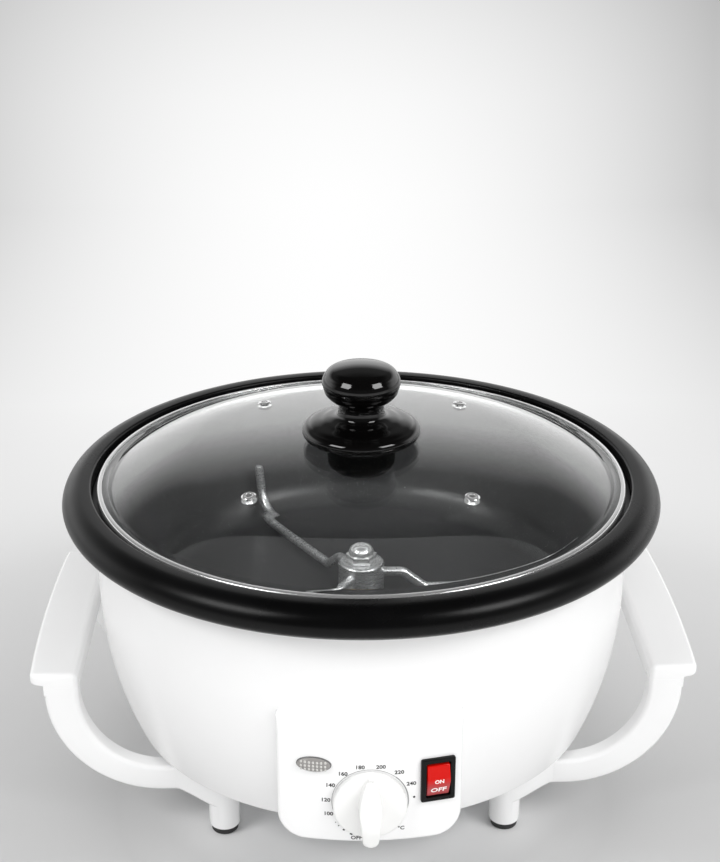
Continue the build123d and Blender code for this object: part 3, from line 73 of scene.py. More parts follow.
# heights and radii shared by several pieces, in millimetres
HOUSING_TOP = 146.0
HOUSING_BOTTOM = 40.5
HOUSING_STRAIGHT = 108.5
HOUSING_TOP_RADIUS = 126.0
HOUSING_BOTTOM_RADIUS = 112.4
HOUSING_WALL = 2.2
RIM_LEDGE = 152.1
PAN_TOP = 153.3
PAN_FLOOR = 94.0
PAN_RADIUS = 117.5
GLASS_APEX = 175.5
GLASS_EDGE_TOP = 157.9
GLASS_THICKNESS = 4.0
GLASS_RADIUS = 123.9
CROWN_RADIUS = 620.0
CROWN_REACH = 80.5
KNOB_TOP = 212.5
KNOB_SEAM = 200.0
PANEL_RADIUS = 130.0
PANEL_TOP = 105.0
DIAL_Z = 63.4
SWITCH_AZIMUTH, SWITCH_Z = 12.75, 72.8
LAMP_AZIMUTH, LAMP_Z = -10.45, 81.6
LEDGE_LOW, LEDGE_HIGH = 43.0, 45.5  # ledge in the bowl that the base plate is screwed to
PAN_FLOOR_RADIUS = 105.0
SHAFT_RADIUS = 4.05
CORD_Z = 58.0
LEG_X, LEG_Y = 66.65, 60.0
LEG_TOP = 40.5
GRIP_HALF = 63.0  # half the length of a handle's grip
STRAP_END, STRAP_FOOT = 89.0, 23.6  # where a strap meets its leg: distance and underside
BAND_TOP = 158.5
LENS_SIDE, LENS_CROWN = 0.7, 1.2  # heights of the lamp's lens: its upright side and its dome


# ------------------------------------------------------------------ outlines
def tangent_arc(start, direction, end, steps):
    """Points of the arc that leaves start in a direction and ends at end, start left out."""
    px, pz = start
    chord_x, chord_z = end[0] - px, end[1] - pz
    size = hypot(*direction)
    tx, tz = direction[0] / size, direction[1] / size
    nx, nz = -tz, tx
    if chord_x * nx + chord_z * nz < 0:
        nx, nz = -nx, -nz
    radius = (chord_x**2 + chord_z**2) / (2 * (chord_x * nx + chord_z * nz))
    cx, cz = px + nx * radius, pz + nz * radius
    first = atan2(pz - cz, px - cx)
    last = atan2(end[1] - cz, end[0] - cx)
    turn = (last - first) % (2 * pi)
    if (-sin(first) * tx + cos(first) * tz) < 0:
        turn -= 2 * pi
    angles = [first + turn * step / steps for step in range(1, steps + 1)]
    return [(cx + radius * cos(a), cz + radius * sin(a)) for a in angles]


def arc_through(start, middle, end, steps):
    """Points of the arc through three points, start left out."""
    ax, az = start
    bx, bz = middle
    cx, cz = end
    d = 2 * (ax * (bz - cz) + bx * (cz - az) + cx * (az - bz))
    a2, b2, c2 = ax * ax + az * az, bx * bx + bz * bz, cx * cx + cz * cz
    ux = (a2 * (bz - cz) + b2 * (cz - az) + c2 * (az - bz)) / d
    uz = (a2 * (cx - bx) + b2 * (ax - cx) + c2 * (bx - ax)) / d
    radius = hypot(ax - ux, az - uz)
    first, mid, last = (atan2(z - uz, x - ux) for x, z in (start, middle, end))
    turn = (last - first) % (2 * pi)
    if (mid - first) % (2 * pi) > turn:
        turn -= 2 * pi
    angles = [first + turn * step / steps for step in range(1, steps + 1)]
    return [(ux + radius * cos(a), uz + radius * sin(a)) for a in angles]


def flowing(points, first_way, last_way, steps):
    """Points of a smooth curve through the given ones, the first left out."""
    ways = [Vector(first_way).normalized()]
    for before, after in zip(points, points[2:]):
        ways.append((Vector(after) - Vector(before)).normalized())
    ways.append(Vector(last_way).normalized())
    result = []
    for i in range(len(points) - 1):
        a, b = Vector(points[i]), Vector(points[i + 1])
        pull = (b - a).length
        for step in range(1, steps + 1):
            t = step / steps
            h1 = 2 * t**3 - 3 * t**2 + 1
            h2 = t**3 - 2 * t**2 + t
            h3 = -2 * t**3 + 3 * t**2
            h4 = t**3 - t**2
            p = a * h1 + ways[i] * pull * h2 + b * h3 + ways[i + 1] * pull * h4
            result.append((p.x, p.y))
    return result


def quarter_turn(steps):
    """Angles from 0 to a right angle; only 0 where there are no steps."""
    return [pi / 2 * step / max(steps, 1) for step in range(steps + 1)]


def rounded(corners, closed=True, steps=5):
    """Outline whose corners (x, y, radius) are rounded."""
    result = []
    count = len(corners)
    for i, (x, y, radius) in enumerate(corners):
        ends = not closed and i in (0, count - 1)
        if radius <= 0 or ends:
            result.append((x, y))
            continue
        here = Vector((x, y))
        to_before = (Vector(corners[i - 1][:2]) - here).normalized()
        to_after = (Vector(corners[(i + 1) % count][:2]) - here).normalized()
        half = to_before.angle(to_after) / 2
        if half > radians(89.0):
            for step in range(steps + 1):
                point = here + to_after * (radius * 0.1 * (step / steps - 0.5))
                result.append((point.x, point.y))
            continue
        reach = radius / tan(half)
        centre = here + (to_before + to_after).normalized() * radius / sin(half)
        a, b = here + to_before * reach - centre, here + to_after * reach - centre
        turn = a.angle_signed(b)
        for step in range(steps + 1):
            angle = -turn * step / steps
            c, s = cos(angle), sin(angle)
            result.append((centre.x + a.x * c - a.y * s, centre.y + a.x * s + a.y * c))
    return result


def inset(outline, distance):
    """Outline moved inwards by a distance, for an anticlockwise one."""
    if not distance:
        return list(outline)
    count = len(outline)
    result = []
    for i, (x, y) in enumerate(outline):
        ax, ay = outline[i - 1]
        bx, by = outline[(i + 1) % count]
        e1 = Vector((x - ax, y - ay))
        e2 = Vector((bx - x, by - y))
        n1 = Vector((-e1.y, e1.x)).normalized()
        n2 = Vector((-e2.y, e2.x)).normalized()
        way = n1 + n2
        way = way / max(way.length_squared / 2, 0.4)
        result.append((x + way.x * distance, y + way.y * distance))
    return result


def rectangle(width, height, radius, steps=5, y=0.0):
    """Rounded rectangle about a point on the upright axis, anticlockwise."""
    w, low, high = width / 2, y - height / 2, y + height / 2
    return rounded(
        [(-w, low, radius), (w, low, radius), (w, high, radius), (-w, high, radius)], steps=steps
    )


def ellipse(across, up, steps=64):
    """Oval about the origin, from its half widths."""
    angles = [2 * pi * step / steps for step in range(steps)]
    return [(across * cos(a), up * sin(a)) for a in angles]


# ------------------------------------------------------------------ meshes
def bridge(bm, loops, closed_ring=False):
    """Faces between loops of equal length, or between a loop and a pole."""
    pairs = list(zip(loops, loops[1:]))
    if closed_ring:
        pairs.append((loops[-1], loops[0]))
    for a, b in pairs:
        count = max(len(a), len(b))
        for i in range(count):
            j = (i + 1) % count
            if len(a) == 1 and len(b) == 1:
                continue
            if len(a) == 1:
                bm.faces.new((a[0], b[j], b[i]))
            elif len(b) == 1:
                bm.faces.new((a[i], a[j], b[0]))
            else:
                bm.faces.new((a[i], a[j], b[j], b[i]))


def turned(profile, turns=TURNS):
    """Mesh of revolution about Z from (radius, height) points, closed up unless it starts on Z."""
    bm = bmesh.new()
    angles = [2 * pi * step / turns for step in range(turns)]
    rings = []
    for radius, height in profile:
        if radius < ON_AXIS:
            rings.append([bm.verts.new((0.0, 0.0, height))])
        else:
            rings.append([bm.verts.new((radius * cos(a), radius * sin(a), height)) for a in angles])
    bridge(bm, rings, closed_ring=len(rings[0]) > 1)
    bmesh.ops.recalc_face_normals(bm, faces=bm.faces)
    return bm


def stacked(levels):
    """Closed mesh from a stack of equal loops of 3-D points, with a face over each end."""
    bm = bmesh.new()
    loops = [[bm.verts.new(point) for point in level] for level in levels]
    bridge(bm, loops)
    for loop in (loops[0], loops[-1]):
        if len(loop) > 1:
            bm.faces.new(loop)
    bmesh.ops.recalc_face_normals(bm, faces=bm.faces)
    return bm


def soft_prism(outline, low, high, low_edge=0.0, high_edge=0.0):
    """Upright prism whose lower and upper edges are rounded where they have a radius."""
    levels = []
    for a in quarter_turn(EDGE_STEPS if low_edge else 0):
        levels.append((low + low_edge * (1 - cos(a)), low_edge * (1 - sin(a))))
    for a in quarter_turn(EDGE_STEPS if high_edge else 0):
        levels.append((high - high_edge * (1 - sin(a)), high_edge * (1 - cos(a))))
    return stacked([[(x, y, z) for x, y in inset(outline, d)] for z, d in levels])


def merged(*parts):
    """One mesh from several that needn't touch."""
    whole = bmesh.new()
    for part in parts:
        mesh = bpy.data.meshes.new("part")
        part.to_mesh(mesh)
        part.free()
        whole.from_mesh(mesh)
        bpy.data.meshes.remove(mesh)
    return whole


def moved(bm, matrix):
    """The same mesh, put in another place."""
    bmesh.ops.transform(bm, matrix=matrix, verts=bm.verts)
    return bm


def combine(base, tools, operation="DIFFERENCE"):
    """Cuts the tools out of the base, or joins them to it."""
    for bm in [base, *tools]:
        bmesh.ops.triangulate(bm, faces=[face for face in bm.faces if len(face.verts) > 4])
    holder = bpy.data.objects.new("base", bpy.data.meshes.new("base"))
    base.to_mesh(holder.data)
    base.free()
    bpy.context.scene.collection.objects.link(holder)
    helpers = []
    for tool in tools:
        helper = bpy.data.objects.new("tool", bpy.data.meshes.new("tool"))
        tool.to_mesh(helper.data)
        tool.free()
        bpy.context.scene.collection.objects.link(helper)
        modifier = holder.modifiers.new("combine", "BOOLEAN")
        modifier.operation = operation
        modifier.solver = "EXACT"
        modifier.object = helper
        helpers.append(helper)
    view = bpy.context.evaluated_depsgraph_get()
    result = bmesh.new()
    result.from_mesh(holder.evaluated_get(view).to_mesh())
    for item in [holder] + helpers:
        mesh = item.data
        bpy.data.objects.remove(item)
        bpy.data.meshes.remove(mesh)
    bmesh.ops.remove_doubles(result, verts=result.verts, dist=WELD)
    bmesh.ops.dissolve_degenerate(result, edges=result.edges, dist=WELD)
    return result


def tube(path, radius, turns):
    """Round bar along 3-D points, with rounded ends."""
    points = [Vector(p) for p in path]
    neighbours = zip(points[:1] + points, points[1:] + points[-1:])
    ways = [(after - before).normalized() for before, after in neighbours]
    side = ways[0].orthogonal().normalized()
    angles = [2 * pi * step / turns for step in range(turns)]
    levels = []
    for point, way in zip(points, ways):
        side = (side - way * side.dot(way)).normalized()
        other = way.cross(side)
        ring = []
        for a in angles:
            ring.append(point + side * (radius * cos(a)) + other * (radius * sin(a)))
        levels.append(ring)
    for end, outward in ((0, -ways[0]), (-1, ways[-1])):
        centre = points[end] + outward * radius * 0.3
        cap = [centre + (p - points[end]) * 0.72 for p in levels[end]]
        levels.insert(0 if end == 0 else len(levels), cap)
    return stacked(levels)


def panel_frame(azimuth, height):
    """Frame on the panel: X to the viewer's right, Y up, Z out of the panel."""
    a = radians(azimuth)
    outward = Vector((sin(a), -cos(a), 0.0))
    across = Vector((cos(a), sin(a), 0.0))
    matrix = Matrix((across, Vector((0.0, 0.0, 1.0)), outward)).transposed().to_4x4()
    matrix.translation = outward * PANEL_RADIUS + Vector((0.0, 0.0, height))
    return matrix


def shift(x, y, z):
    """Place moved by millimetres."""
    return Matrix.Translation((x, y, z))


def head_down(x, y, z):
    """Place of something turned upside down about X."""
    return shift(x, y, z) @ Matrix.Rotation(pi, 4, "X")


def add_piece(name, bm, material, body="machine", replaces=(), smooth=SMOOTH_ANGLE):
    """Puts a mesh into the frame as a piece that rides on a body."""
    moved(bm, TO_FRAME)
    mesh = bpy.data.meshes.new(name)
    bm.to_mesh(mesh)
    bm.free()
    mesh.materials.append(finish(material))
    mesh.shade_smooth()
    mesh.set_sharp_from_angle(angle=smooth)
    piece = bpy.data.objects.new(name, mesh)
    bpy.context.scene.collection.objects.link(piece)
    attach(piece, body)
    if replaces:
        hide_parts(*replaces)


# ------------------------------------------------------------------ effects shared by materials
def give(tree, socket, value):
    """Gives an input a constant, or links another node's output to it."""
    if isinstance(value, bpy.types.NodeSocket):
        tree.links.new(value, socket)
    else:
        socket.default_value = value


def feed(tree, node, **values):
    """Gives a node's named inputs their values; a space in a name is written as _ here."""
    for label, value in values.items():
        give(tree, node.inputs[label.replace("_", " ")], value)
    return node


def add_node(tree, kind, **values):
    """New shader node of a kind with its named inputs fed."""
    return feed(tree, tree.nodes.new("ShaderNode" + kind), **values)


def new_group(name, inputs, outputs):
    """Empty node group with named sockets; returns the tree and its two end nodes."""
    tree = bpy.data.node_groups.new(name, "ShaderNodeTree")
    for label, kind, value in inputs:
        socket = tree.interface.new_socket(label, in_out="INPUT", socket_type="NodeSocket" + kind)
        socket.default_value = value
    for label, kind in outputs:
        tree.interface.new_socket(label, in_out="OUTPUT", socket_type="NodeSocket" + kind)
    return tree, tree.nodes.new("NodeGroupInput"), tree.nodes.new("NodeGroupOutput")


def math_node(tree, operation, *values):
    """Math node fed by outputs or numbers; returns its output."""
    node = add_node(tree, "Math")
    node.operation = operation
    for socket, value in zip(node.inputs, values):
        give(tree, socket, value)
    return node.outputs[0]


def radius_node(tree, x, y):
    """Distance from the vertical axis; returns its output."""
    squares = [math_node(tree, "MULTIPLY", value, value) for value in (x, y)]
    return math_node(tree, "SQRT", math_node(tree, "ADD", *squares))


def range_node(tree, value, low, high, to_low, to_high):
    """Clamped change of range; returns its output."""
    node = add_node(
        tree, "MapRange", Value=value, From_Min=low, From_Max=high, To_Min=to_low, To_Max=to_high
    )
    return node.outputs["Result"]


def noise_node(tree, vector, scale, detail, roughness=0.5):
    """Noise in object space; scale is in waves per metre."""
    node = add_node(
        tree, "TexNoise", Vector=vector, Scale=scale, Detail=detail, Roughness=roughness
    )
    return node.outputs["Fac"]


def vector_product(tree, a, b):
    """Two vectors or colours multiplied part by part; returns the output."""
    node = add_node(tree, "VectorMath")
    node.operation = "MULTIPLY"
    for socket, value in zip(node.inputs, (a, b)):
        give(tree, socket, value)
    return node.outputs[0]


def object_space(tree):
    """Place on an object in its own frame, in metres; returns the output."""
    return add_node(tree, "TexCoord").outputs["Object"]


def group_moulded_skin():
    """Gloss that varies with handling, over the faint texture of moulded plastic or enamel."""
    tree, start, end = new_group(
        "moulded_skin",
        [
            ("Grain Scale", "Float", 900.0), ("Gloss Low", "Float", 0.2),
            ("Gloss High", "Float", 0.34), ("Wave Share", "Float", 0.6),
        ],
        [("Height", "Float"), ("Roughness", "Float"), ("Cloud", "Float")],
    )
    space, given = object_space(tree), start.outputs
    grain = noise_node(tree, space, given["Grain Scale"], 4.0, 0.6)
    wave = noise_node(tree, space, 70.0, 2.0)
    cloud = noise_node(tree, space, 16.0, 5.0, 0.62)
    waves = math_node(tree, "MULTIPLY", wave, given["Wave Share"])
    rest = math_node(tree, "SUBTRACT", 1.0, given["Wave Share"])
    height = math_node(tree, "ADD", waves, math_node(tree, "MULTIPLY", grain, rest))
    gloss = range_node(tree, cloud, 0.36, 0.66, given["Gloss Low"], given["Gloss High"])
    feed(tree, end, Height=height, Roughness=gloss, Cloud=cloud)
    return tree


def group_turned_marks():
    """Fine rings left round the pan's axis by a lathe or a spinning tool."""
    tree, start, end = new_group(
        "turned_marks",
        [
            ("Pitch", "Float", 2200.0), ("Gloss Low", "Float", 0.22),
            ("Gloss High", "Float", 0.4), ("Axis Y", "Float", 0.0),
        ],
        [("Height", "Float"), ("Roughness", "Float")],
    )
    given = start.outputs
    place = add_node(tree, "SeparateXYZ", Vector=object_space(tree)).outputs
    y = math_node(tree, "SUBTRACT", place["Y"], given["Axis Y"])
    radius = radius_node(tree, place["X"], y)
    angle = math_node(tree, "ARCTAN2", y, place["X"])
    along = math_node(tree, "MULTIPLY", angle, 0.0012)
    polar = add_node(tree, "CombineXYZ", X=radius, Y=along, Z=place["Z"])
    rings = noise_node(tree, polar.outputs[0], given["Pitch"], 3.0, 0.6)
    gloss = range_node(tree, rings, 0.3, 0.7, given["Gloss Low"], given["Gloss High"])
    feed(tree, end, Height=rings, Roughness=gloss)
    return tree


def group_drawn_marks():
    """Long fine scratches along one direction, as on rolled sheet and drawn bar."""
    tree, start, end = new_group(
        "drawn_marks",
        [
            ("Stretch", "Vector", (40.0, 1600.0, 1600.0)),
            ("Gloss Low", "Float", 0.25), ("Gloss High", "Float", 0.45),
        ],
        [("Height", "Float"), ("Roughness", "Float"), ("Spangle", "Float")],
    )
    space, given = object_space(tree), start.outputs
    marks = noise_node(tree, vector_product(tree, space, given["Stretch"]), 1.0, 4.0, 0.6)
    spangle = add_node(tree, "TexVoronoi", Vector=space, Scale=160.0)
    value = add_node(tree, "SeparateColor", Color=spangle.outputs["Color"])
    gloss = range_node(tree, marks, 0.3, 0.7, given["Gloss Low"], given["Gloss High"])
    feed(tree, end, Height=marks, Roughness=gloss, Spangle=value.outputs[0])
    return tree


def group_tinted():
    """A colour that drifts between two shades with a mask."""
    tree, start, end = new_group(
        "tinted",
        [
            ("Shade A", "Color", (0.9, 0.9, 0.9, 1.0)), ("Shade B", "Color", (0.8, 0.8, 0.8, 1.0)),
            ("Mask", "Float", 0.5), ("Low", "Float", 0.35), ("High", "Float", 0.65),
        ],
        [("Color", "Color")],
    )
    given = start.outputs
    share = range_node(tree, given["Mask"], given["Low"], given["High"], 0.0, 1.0)
    mix = add_node(tree, "Mix")
    mix.data_type = "RGBA"
    feed(tree, mix, Factor=share, A=given["Shade A"], B=given["Shade B"])
    feed(tree, end, Color=mix.outputs["Result"])
    return tree


GROUP_MAKERS = {
    "moulded_skin": group_moulded_skin,
    "turned_marks": group_turned_marks,
    "drawn_marks": group_drawn_marks,
    "tinted": group_tinted,
}


def effect(tree, name, **values):
    """Places a shared effect in a material with its own values; returns its outputs."""
    node = tree.nodes.new("ShaderNodeGroup")
    node.node_tree = bpy.data.node_groups.get(name) or GROUP_MAKERS[name]()
    return feed(tree, node, **values).outputs


# ------------------------------------------------------------------ materials
def new_material(name, **values):
    """Material with a Principled shader whose plain values are set on its own sockets."""
    material = bpy.data.materials.new(name)
    material.use_nodes = True
    tree = material.node_tree
    return material, tree, feed(tree, tree.nodes["Principled BSDF"], **values)


def bump(tree, shader, height, strength, depth):
    """Relief of a surface, in metres; a strength below 1 fades it."""
    node = add_node(tree, "Bump", Strength=strength, Distance=depth, Height=height)
    feed(tree, shader, Normal=node.outputs["Normal"])


def mixed_surface(tree, share, first, second):
    """Two shaders mixed by a share, as the material's surface."""
    mix = add_node(tree, "MixShader", Fac=share)
    tree.links.new(first.outputs[0], mix.inputs[1])
    tree.links.new(second.outputs[0], mix.inputs[2])
    feed(tree, tree.nodes["Material Output"], Surface=mix.outputs["Shader"])


def opaque(colour):
    return (colour[0], colour[1], colour[2], 1.0)


def shaded(colour, factor):
    return tuple(channel * factor for channel in colour[:3]) + (1.0,)


def plastic(
    name, colour, gloss, grain, strength, drift=0.97, wave=0.6, specular=0.5
):
    """Moulded plastic or enamel: uneven gloss, faint texture and a slight drift of colour."""
    _, tree, shader = new_material(name, Specular_IOR_Level=specular)
    skin = effect(
        tree, "moulded_skin",
        Grain_Scale=grain, Gloss_Low=gloss[0], Gloss_High=gloss[1], Wave_Share=wave,
    )
    tint = effect(
        tree, "tinted", Shade_A=opaque(colour), Shade_B=shaded(colour, drift), Mask=skin["Cloud"]
    )
    feed(tree, shader, Base_Color=tint["Color"], Roughness=skin["Roughness"])
    bump(tree, shader, skin["Height"], strength, 0.0001)


def turned_metal(name, colour, gloss=(0.2, 0.38), pitch=2200.0, metallic=0.9):
    """Metal with fine rings round the pan's axis."""
    _, tree, shader = new_material(name, Metallic=metallic)
    marks = effect(
        tree, "turned_marks", Pitch=pitch, Gloss_Low=gloss[0], Gloss_High=gloss[1], Axis_Y=AXIS_Y
    )
    tint = effect(
        tree, "tinted", Shade_A=opaque(colour), Shade_B=shaded(colour, 0.86), Mask=marks["Height"]
    )
    feed(tree, shader, Base_Color=tint["Color"], Roughness=marks["Roughness"])
    bump(tree, shader, marks["Height"], 0.15, 0.00005)


def sheet_metal(name, colour, gloss=(0.28, 0.46), stretch=ROLLED, strength=0.2, spangle=0.12):
    """Metal with drawn scratches and patches of slightly different shade."""
    _, tree, shader = new_material(name, Metallic=1.0)
    marks = effect(
        tree, "drawn_marks", Stretch=stretch, Gloss_Low=gloss[0], Gloss_High=gloss[1]
    )
    tint = effect(
        tree, "tinted", Shade_A=opaque(colour), Shade_B=shaded(colour, 1.0 - spangle),
        Low=0.0, High=1.0, Mask=marks["Spangle"],
    )
    feed(tree, shader, Base_Color=tint["Color"], Roughness=marks["Roughness"])
    bump(tree, shader, marks["Height"], strength, 0.00004)


def pan_finish(name, colour):
    """Non-stick coating: near black, with pale flecks and a spun texture under it."""
    _, tree, shader = new_material(name)
    skin = effect(
        tree, "moulded_skin", Grain_Scale=1400.0, Gloss_Low=0.3, Gloss_High=0.42, Wave_Share=0.2
    )
    marks = effect(tree, "turned_marks", Pitch=1500.0, Axis_Y=AXIS_Y)
    flecks = noise_node(tree, object_space(tree), 1500.0, 2.0)
    tint = effect(
        tree, "tinted", Shade_A=opaque(colour), Shade_B=(0.22, 0.22, 0.22, 1.0),
        Low=0.68, High=0.74, Mask=flecks,
    )
    feed(tree, shader, Base_Color=tint["Color"], Roughness=skin["Roughness"])
    bump(tree, shader, math_node(tree, "ADD", skin["Height"], marks["Height"]), 0.2, 0.00006)


def clear_glass(name, colour, roughness=0.0):
    """Glass that lets lamp light through, with a faint film on it."""
    _, tree, shader = new_material(
        name, Base_Color=opaque(colour), Transmission_Weight=1.0, IOR=1.45, Metallic=0.0,
        Specular_IOR_Level=0.35,
    )
    film = effect(
        tree, "moulded_skin", Grain_Scale=300.0, Gloss_Low=roughness, Gloss_High=roughness + 0.035
    )
    feed(tree, shader, Roughness=film["Roughness"])
    clear = add_node(tree, "BsdfTransparent", Color=opaque(colour))
    path = add_node(tree, "LightPath")
    mixed_surface(tree, path.outputs["Is Shadow Ray"], shader, clear)


def ink(name, colour):
    """Printed ink, thin in places."""
    plastic(name, colour, (0.3, 0.5), 2500.0, 0.05, drift=1.25)


def rocker_red(name, colour):
    """Red see-through plastic: its own deep red at the raised end, paler towards the pressed end,
    where the paler shade is a painted sheen.
    """
    _, tree, shader = new_material(
        name, Coat_Weight=0.05, Coat_Roughness=0.06, Specular_IOR_Level=0.15
    )
    skin = effect(tree, "moulded_skin", Grain_Scale=1500.0, Gloss_Low=0.12, Gloss_High=0.22)
    place = add_node(tree, "SeparateXYZ", Vector=object_space(tree))
    tint = effect(
        # Shade A is painted sheen on the lower, pressed end; Shade B is the rocker's own red
        tree, "tinted", Shade_A=(0.5, 0.09, 0.095, 1.0), Shade_B=opaque(colour),
        Low=(SWITCH_Z - 5.0) * MM, High=(SWITCH_Z + 1.5) * MM, Mask=place.outputs["Z"],
    )
    feed(tree, shader, Base_Color=tint["Color"], Roughness=skin["Roughness"])
    bump(tree, shader, skin["Height"], 0.04, 0.0001)


def make_materials(colours):
    """All finishes of the roaster, under the names of the record's slots where there is one."""
    for material in bpy.data.materials:
        material.name = "plain_" + material.name

    # name, colour, gloss from and to, grain in waves per metre, strength of its relief
    plastic("white_shell", colours.shell, (0.2, 0.27), 700.0, 0.015, drift=0.985)
    plastic("white_knob", (0.90, 0.90, 0.89), (0.26, 0.38), 1200.0, 0.06)
    plastic(
        "black_rim", colours.rim, (0.24, 0.34), 2600.0, 0.2, wave=0.1, drift=1.5, specular=0.18
    )
    plastic("black_knob", (0.0012, 0.0011, 0.0011), (0.04, 0.08), 500.0, 0.01, drift=1.6)
    plastic("black_boss", (0.002, 0.002, 0.002), (0.12, 0.2), 2200.0, 0.04, drift=1.5)
    plastic("soft_gasket", (0.05, 0.05, 0.05), (0.55, 0.75), 3000.0, 0.2, drift=1.4)
    plastic("foot_rubber", (0.02, 0.02, 0.02), (0.6, 0.8), 2600.0, 0.3, drift=1.8)
    plastic("motor_dark", (0.55, 0.56, 0.58), (0.34, 0.5), 1500.0, 0.15)
    plastic(
        "switch_black", (0.003, 0.003, 0.003), (0.28, 0.42), 2400.0, 0.12, drift=1.6, specular=0.2
    )
    plastic("lamp_clear", (0.3, 0.29, 0.28), (0.08, 0.16), 1200.0, 0.1, drift=0.85)
    plastic("lamp_beads", (0.6, 0.59, 0.57), (0.06, 0.14), 1200.0, 0.05)
    plastic("lamp_collar", (0.14, 0.14, 0.14), (0.1, 0.2), 1200.0, 0.05)
    plastic("ceramic_white", (0.86, 0.85, 0.80), (0.45, 0.62), 1600.0, 0.2)
    plastic("gland_black", (0.03, 0.03, 0.03), (0.35, 0.5), 2200.0, 0.15, drift=1.5)
    rocker_red("rocker_red", colours.rocker)
    pan_finish("pan_coating", (0.016, 0.016, 0.017))
    # grey ink finish used for the painted shadow ring round the dial's skirt
    ink("painted_shadow_grey", (0.22, 0.22, 0.22))
    ink("print_dark", (0.012, 0.012, 0.012))
    ink("print_white", (0.88, 0.86, 0.84))

    clear_glass("lid_glass", (0.975, 0.985, 0.98))
    clear_glass("neon_orange", (0.95, 0.45, 0.2), 0.02)

    turned_metal("bright_steel", (0.82, 0.82, 0.82), (0.14, 0.24), metallic=0.78)
    turned_metal("shaft_steel", (0.66, 0.66, 0.67))
    turned_metal("bronze", (0.62, 0.43, 0.20), (0.25, 0.42))
    turned_metal("copper", (0.72, 0.40, 0.26), (0.24, 0.44), pitch=900.0)

    # without a direction, the scratches are a cast or plated grain
    sheet_metal("sheet_steel", (0.60, 0.61, 0.62), spangle=0.22)
    sheet_metal("screw_steel", (0.62, 0.62, 0.63), (0.22, 0.38), (900.0, 900.0, 900.0))
    sheet_metal("cast_plate", (0.72, 0.73, 0.74), (0.42, 0.6), (700.0, 700.0, 700.0), 0.5)
    sheet_metal("element_sheath", (0.30, 0.30, 0.31), (0.42, 0.62), (300.0, 300.0, 300.0))


def finish(name):
    """The material of a name; an error if it hasn't been made."""
    return bpy.data.materials[name]


# ------------------------------------------------------------------ housing, rim, pan
def wall_radius(height):
    """Outer radius of the bowl at a height below its upright part."""
    drop = HOUSING_STRAIGHT - HOUSING_BOTTOM
    inward = HOUSING_TOP_RADIUS - HOUSING_BOTTOM_RADIUS
    arc = (drop * drop + inward * inward) / (2 * inward)
    below = max(HOUSING_STRAIGHT - height, 0.0)
    return HOUSING_TOP_RADIUS - arc + sqrt(arc * arc - below * below)


def make_housing():
    """White bowl with its inner ledge, the window behind the panel and the cord's hole."""
    rows, low = 40, HOUSING_BOTTOM + 1.2
    heights = [low + (HOUSING_STRAIGHT - HOUSING_BOTTOM - 1.2) * k / rows for k in range(rows + 1)]
    outer = [(wall_radius(z), z) for z in heights] + [(HOUSING_TOP_RADIUS, HOUSING_TOP)]
    inner = [(r - HOUSING_WALL, z) for r, z in reversed(outer)]
    foot = rounded(
        [
            (inner[-1][0], inner[-1][1], 0.0),
            (HOUSING_BOTTOM_RADIUS - HOUSING_WALL, HOUSING_BOTTOM, 0.5),
            (HOUSING_BOTTOM_RADIUS, HOUSING_BOTTOM, 0.9),
            (outer[0][0], outer[0][1], 0.0),
        ],
        closed=False,
    )[1:-1]
    ledge_radius = HOUSING_BOTTOM_RADIUS - HOUSING_WALL - 6.0
    ledge = [
        (wall_radius(LEDGE_HIGH) - HOUSING_WALL, LEDGE_HIGH),
        (ledge_radius, LEDGE_HIGH),
        (ledge_radius, LEDGE_LOW),
        (wall_radius(LEDGE_LOW) - HOUSING_WALL, LEDGE_LOW),
    ]
    inner_low = [p for p in inner if p[1] <= LEDGE_LOW]
    inner_high = [p for p in inner if p[1] > LEDGE_HIGH]
    shell = turned(outer + inner_high + ledge + inner_low + foot)
    wide = soft_prism(rectangle(72.0, 60.0, 3.0, y=-110.0), 60.5, 95.5)
    narrow = soft_prism(rectangle(48.0, 60.0, 3.0, y=-110.0), 48.5, 61.0)
    hole = turned([(0, 0), (6.1, 0), (6.1, 130), (0, 130)], 48)
    moved(hole, shift(0, 0, CORD_Z) @ Matrix.Rotation(-pi / 2, 4, "X"))
    shell = combine(shell, [wide, narrow, hole])
    add_piece("bowl", shell, "white_shell", replaces=["outer_housing"])


def make_rim():
    """Black ring that carries the pan and stands out past the bowl."""
    profile = [(127.0, 152.1), (127.0, 158.5)]
    profile += tangent_arc((127.0, 158.5), (0, 1), (128.2, 159.7), 6)
    profile += [(131.8, 159.7)]
    profile += tangent_arc((131.8, 159.7), (1, 0), (140.7, 151.9), 22)
    profile += tangent_arc((140.7, 151.9), (0, -1), (137.5, 146.2), 12)
    profile += [(137.1, 146.0), (123.7, 146.0), (123.7, 137.6), (123.2, 137.0)]
    profile += [(121.8, 137.0), (121.3, 137.5), (121.3, 149.1), (119.1, 149.1), (119.1, 152.1)]
    add_piece("black_rim_ring", turned(profile, 256), "black_rim", replaces=["rim_ring"])


def make_pan():
    """Coated pan with a pressed flange and a rounded foot."""
    wall, flange, shaft_hole = 1.5, 126.9, 6.65
    slope = (PAN_RADIUS - PAN_FLOOR_RADIUS) / (PAN_TOP - PAN_FLOOR)
    low = PAN_FLOOR - wall
    profile = rounded(
        [
            (shaft_hole, PAN_FLOOR, 0.2),
            (PAN_FLOOR_RADIUS, PAN_FLOOR, 14.0),
            (PAN_RADIUS, PAN_TOP, 1.6),
            (flange, PAN_TOP, 0.4),
            (flange, RIM_LEDGE, 0.4),
            (PAN_RADIUS + wall - slope * wall, RIM_LEDGE, 1.0),
            (PAN_FLOOR_RADIUS + wall, low, 15.5),
            (shaft_hole, low, 0.2),
        ],
        steps=10,
    )
    add_piece("coated_pan", turned(profile), "pan_coating", replaces=["roasting_pan"])


# ------------------------------------------------------------------ lid
def crown_height(radius):
    """Height of the dome's upper face on its crown."""
    return GLASS_APEX - CROWN_RADIUS + sqrt(CROWN_RADIUS**2 - radius * radius)


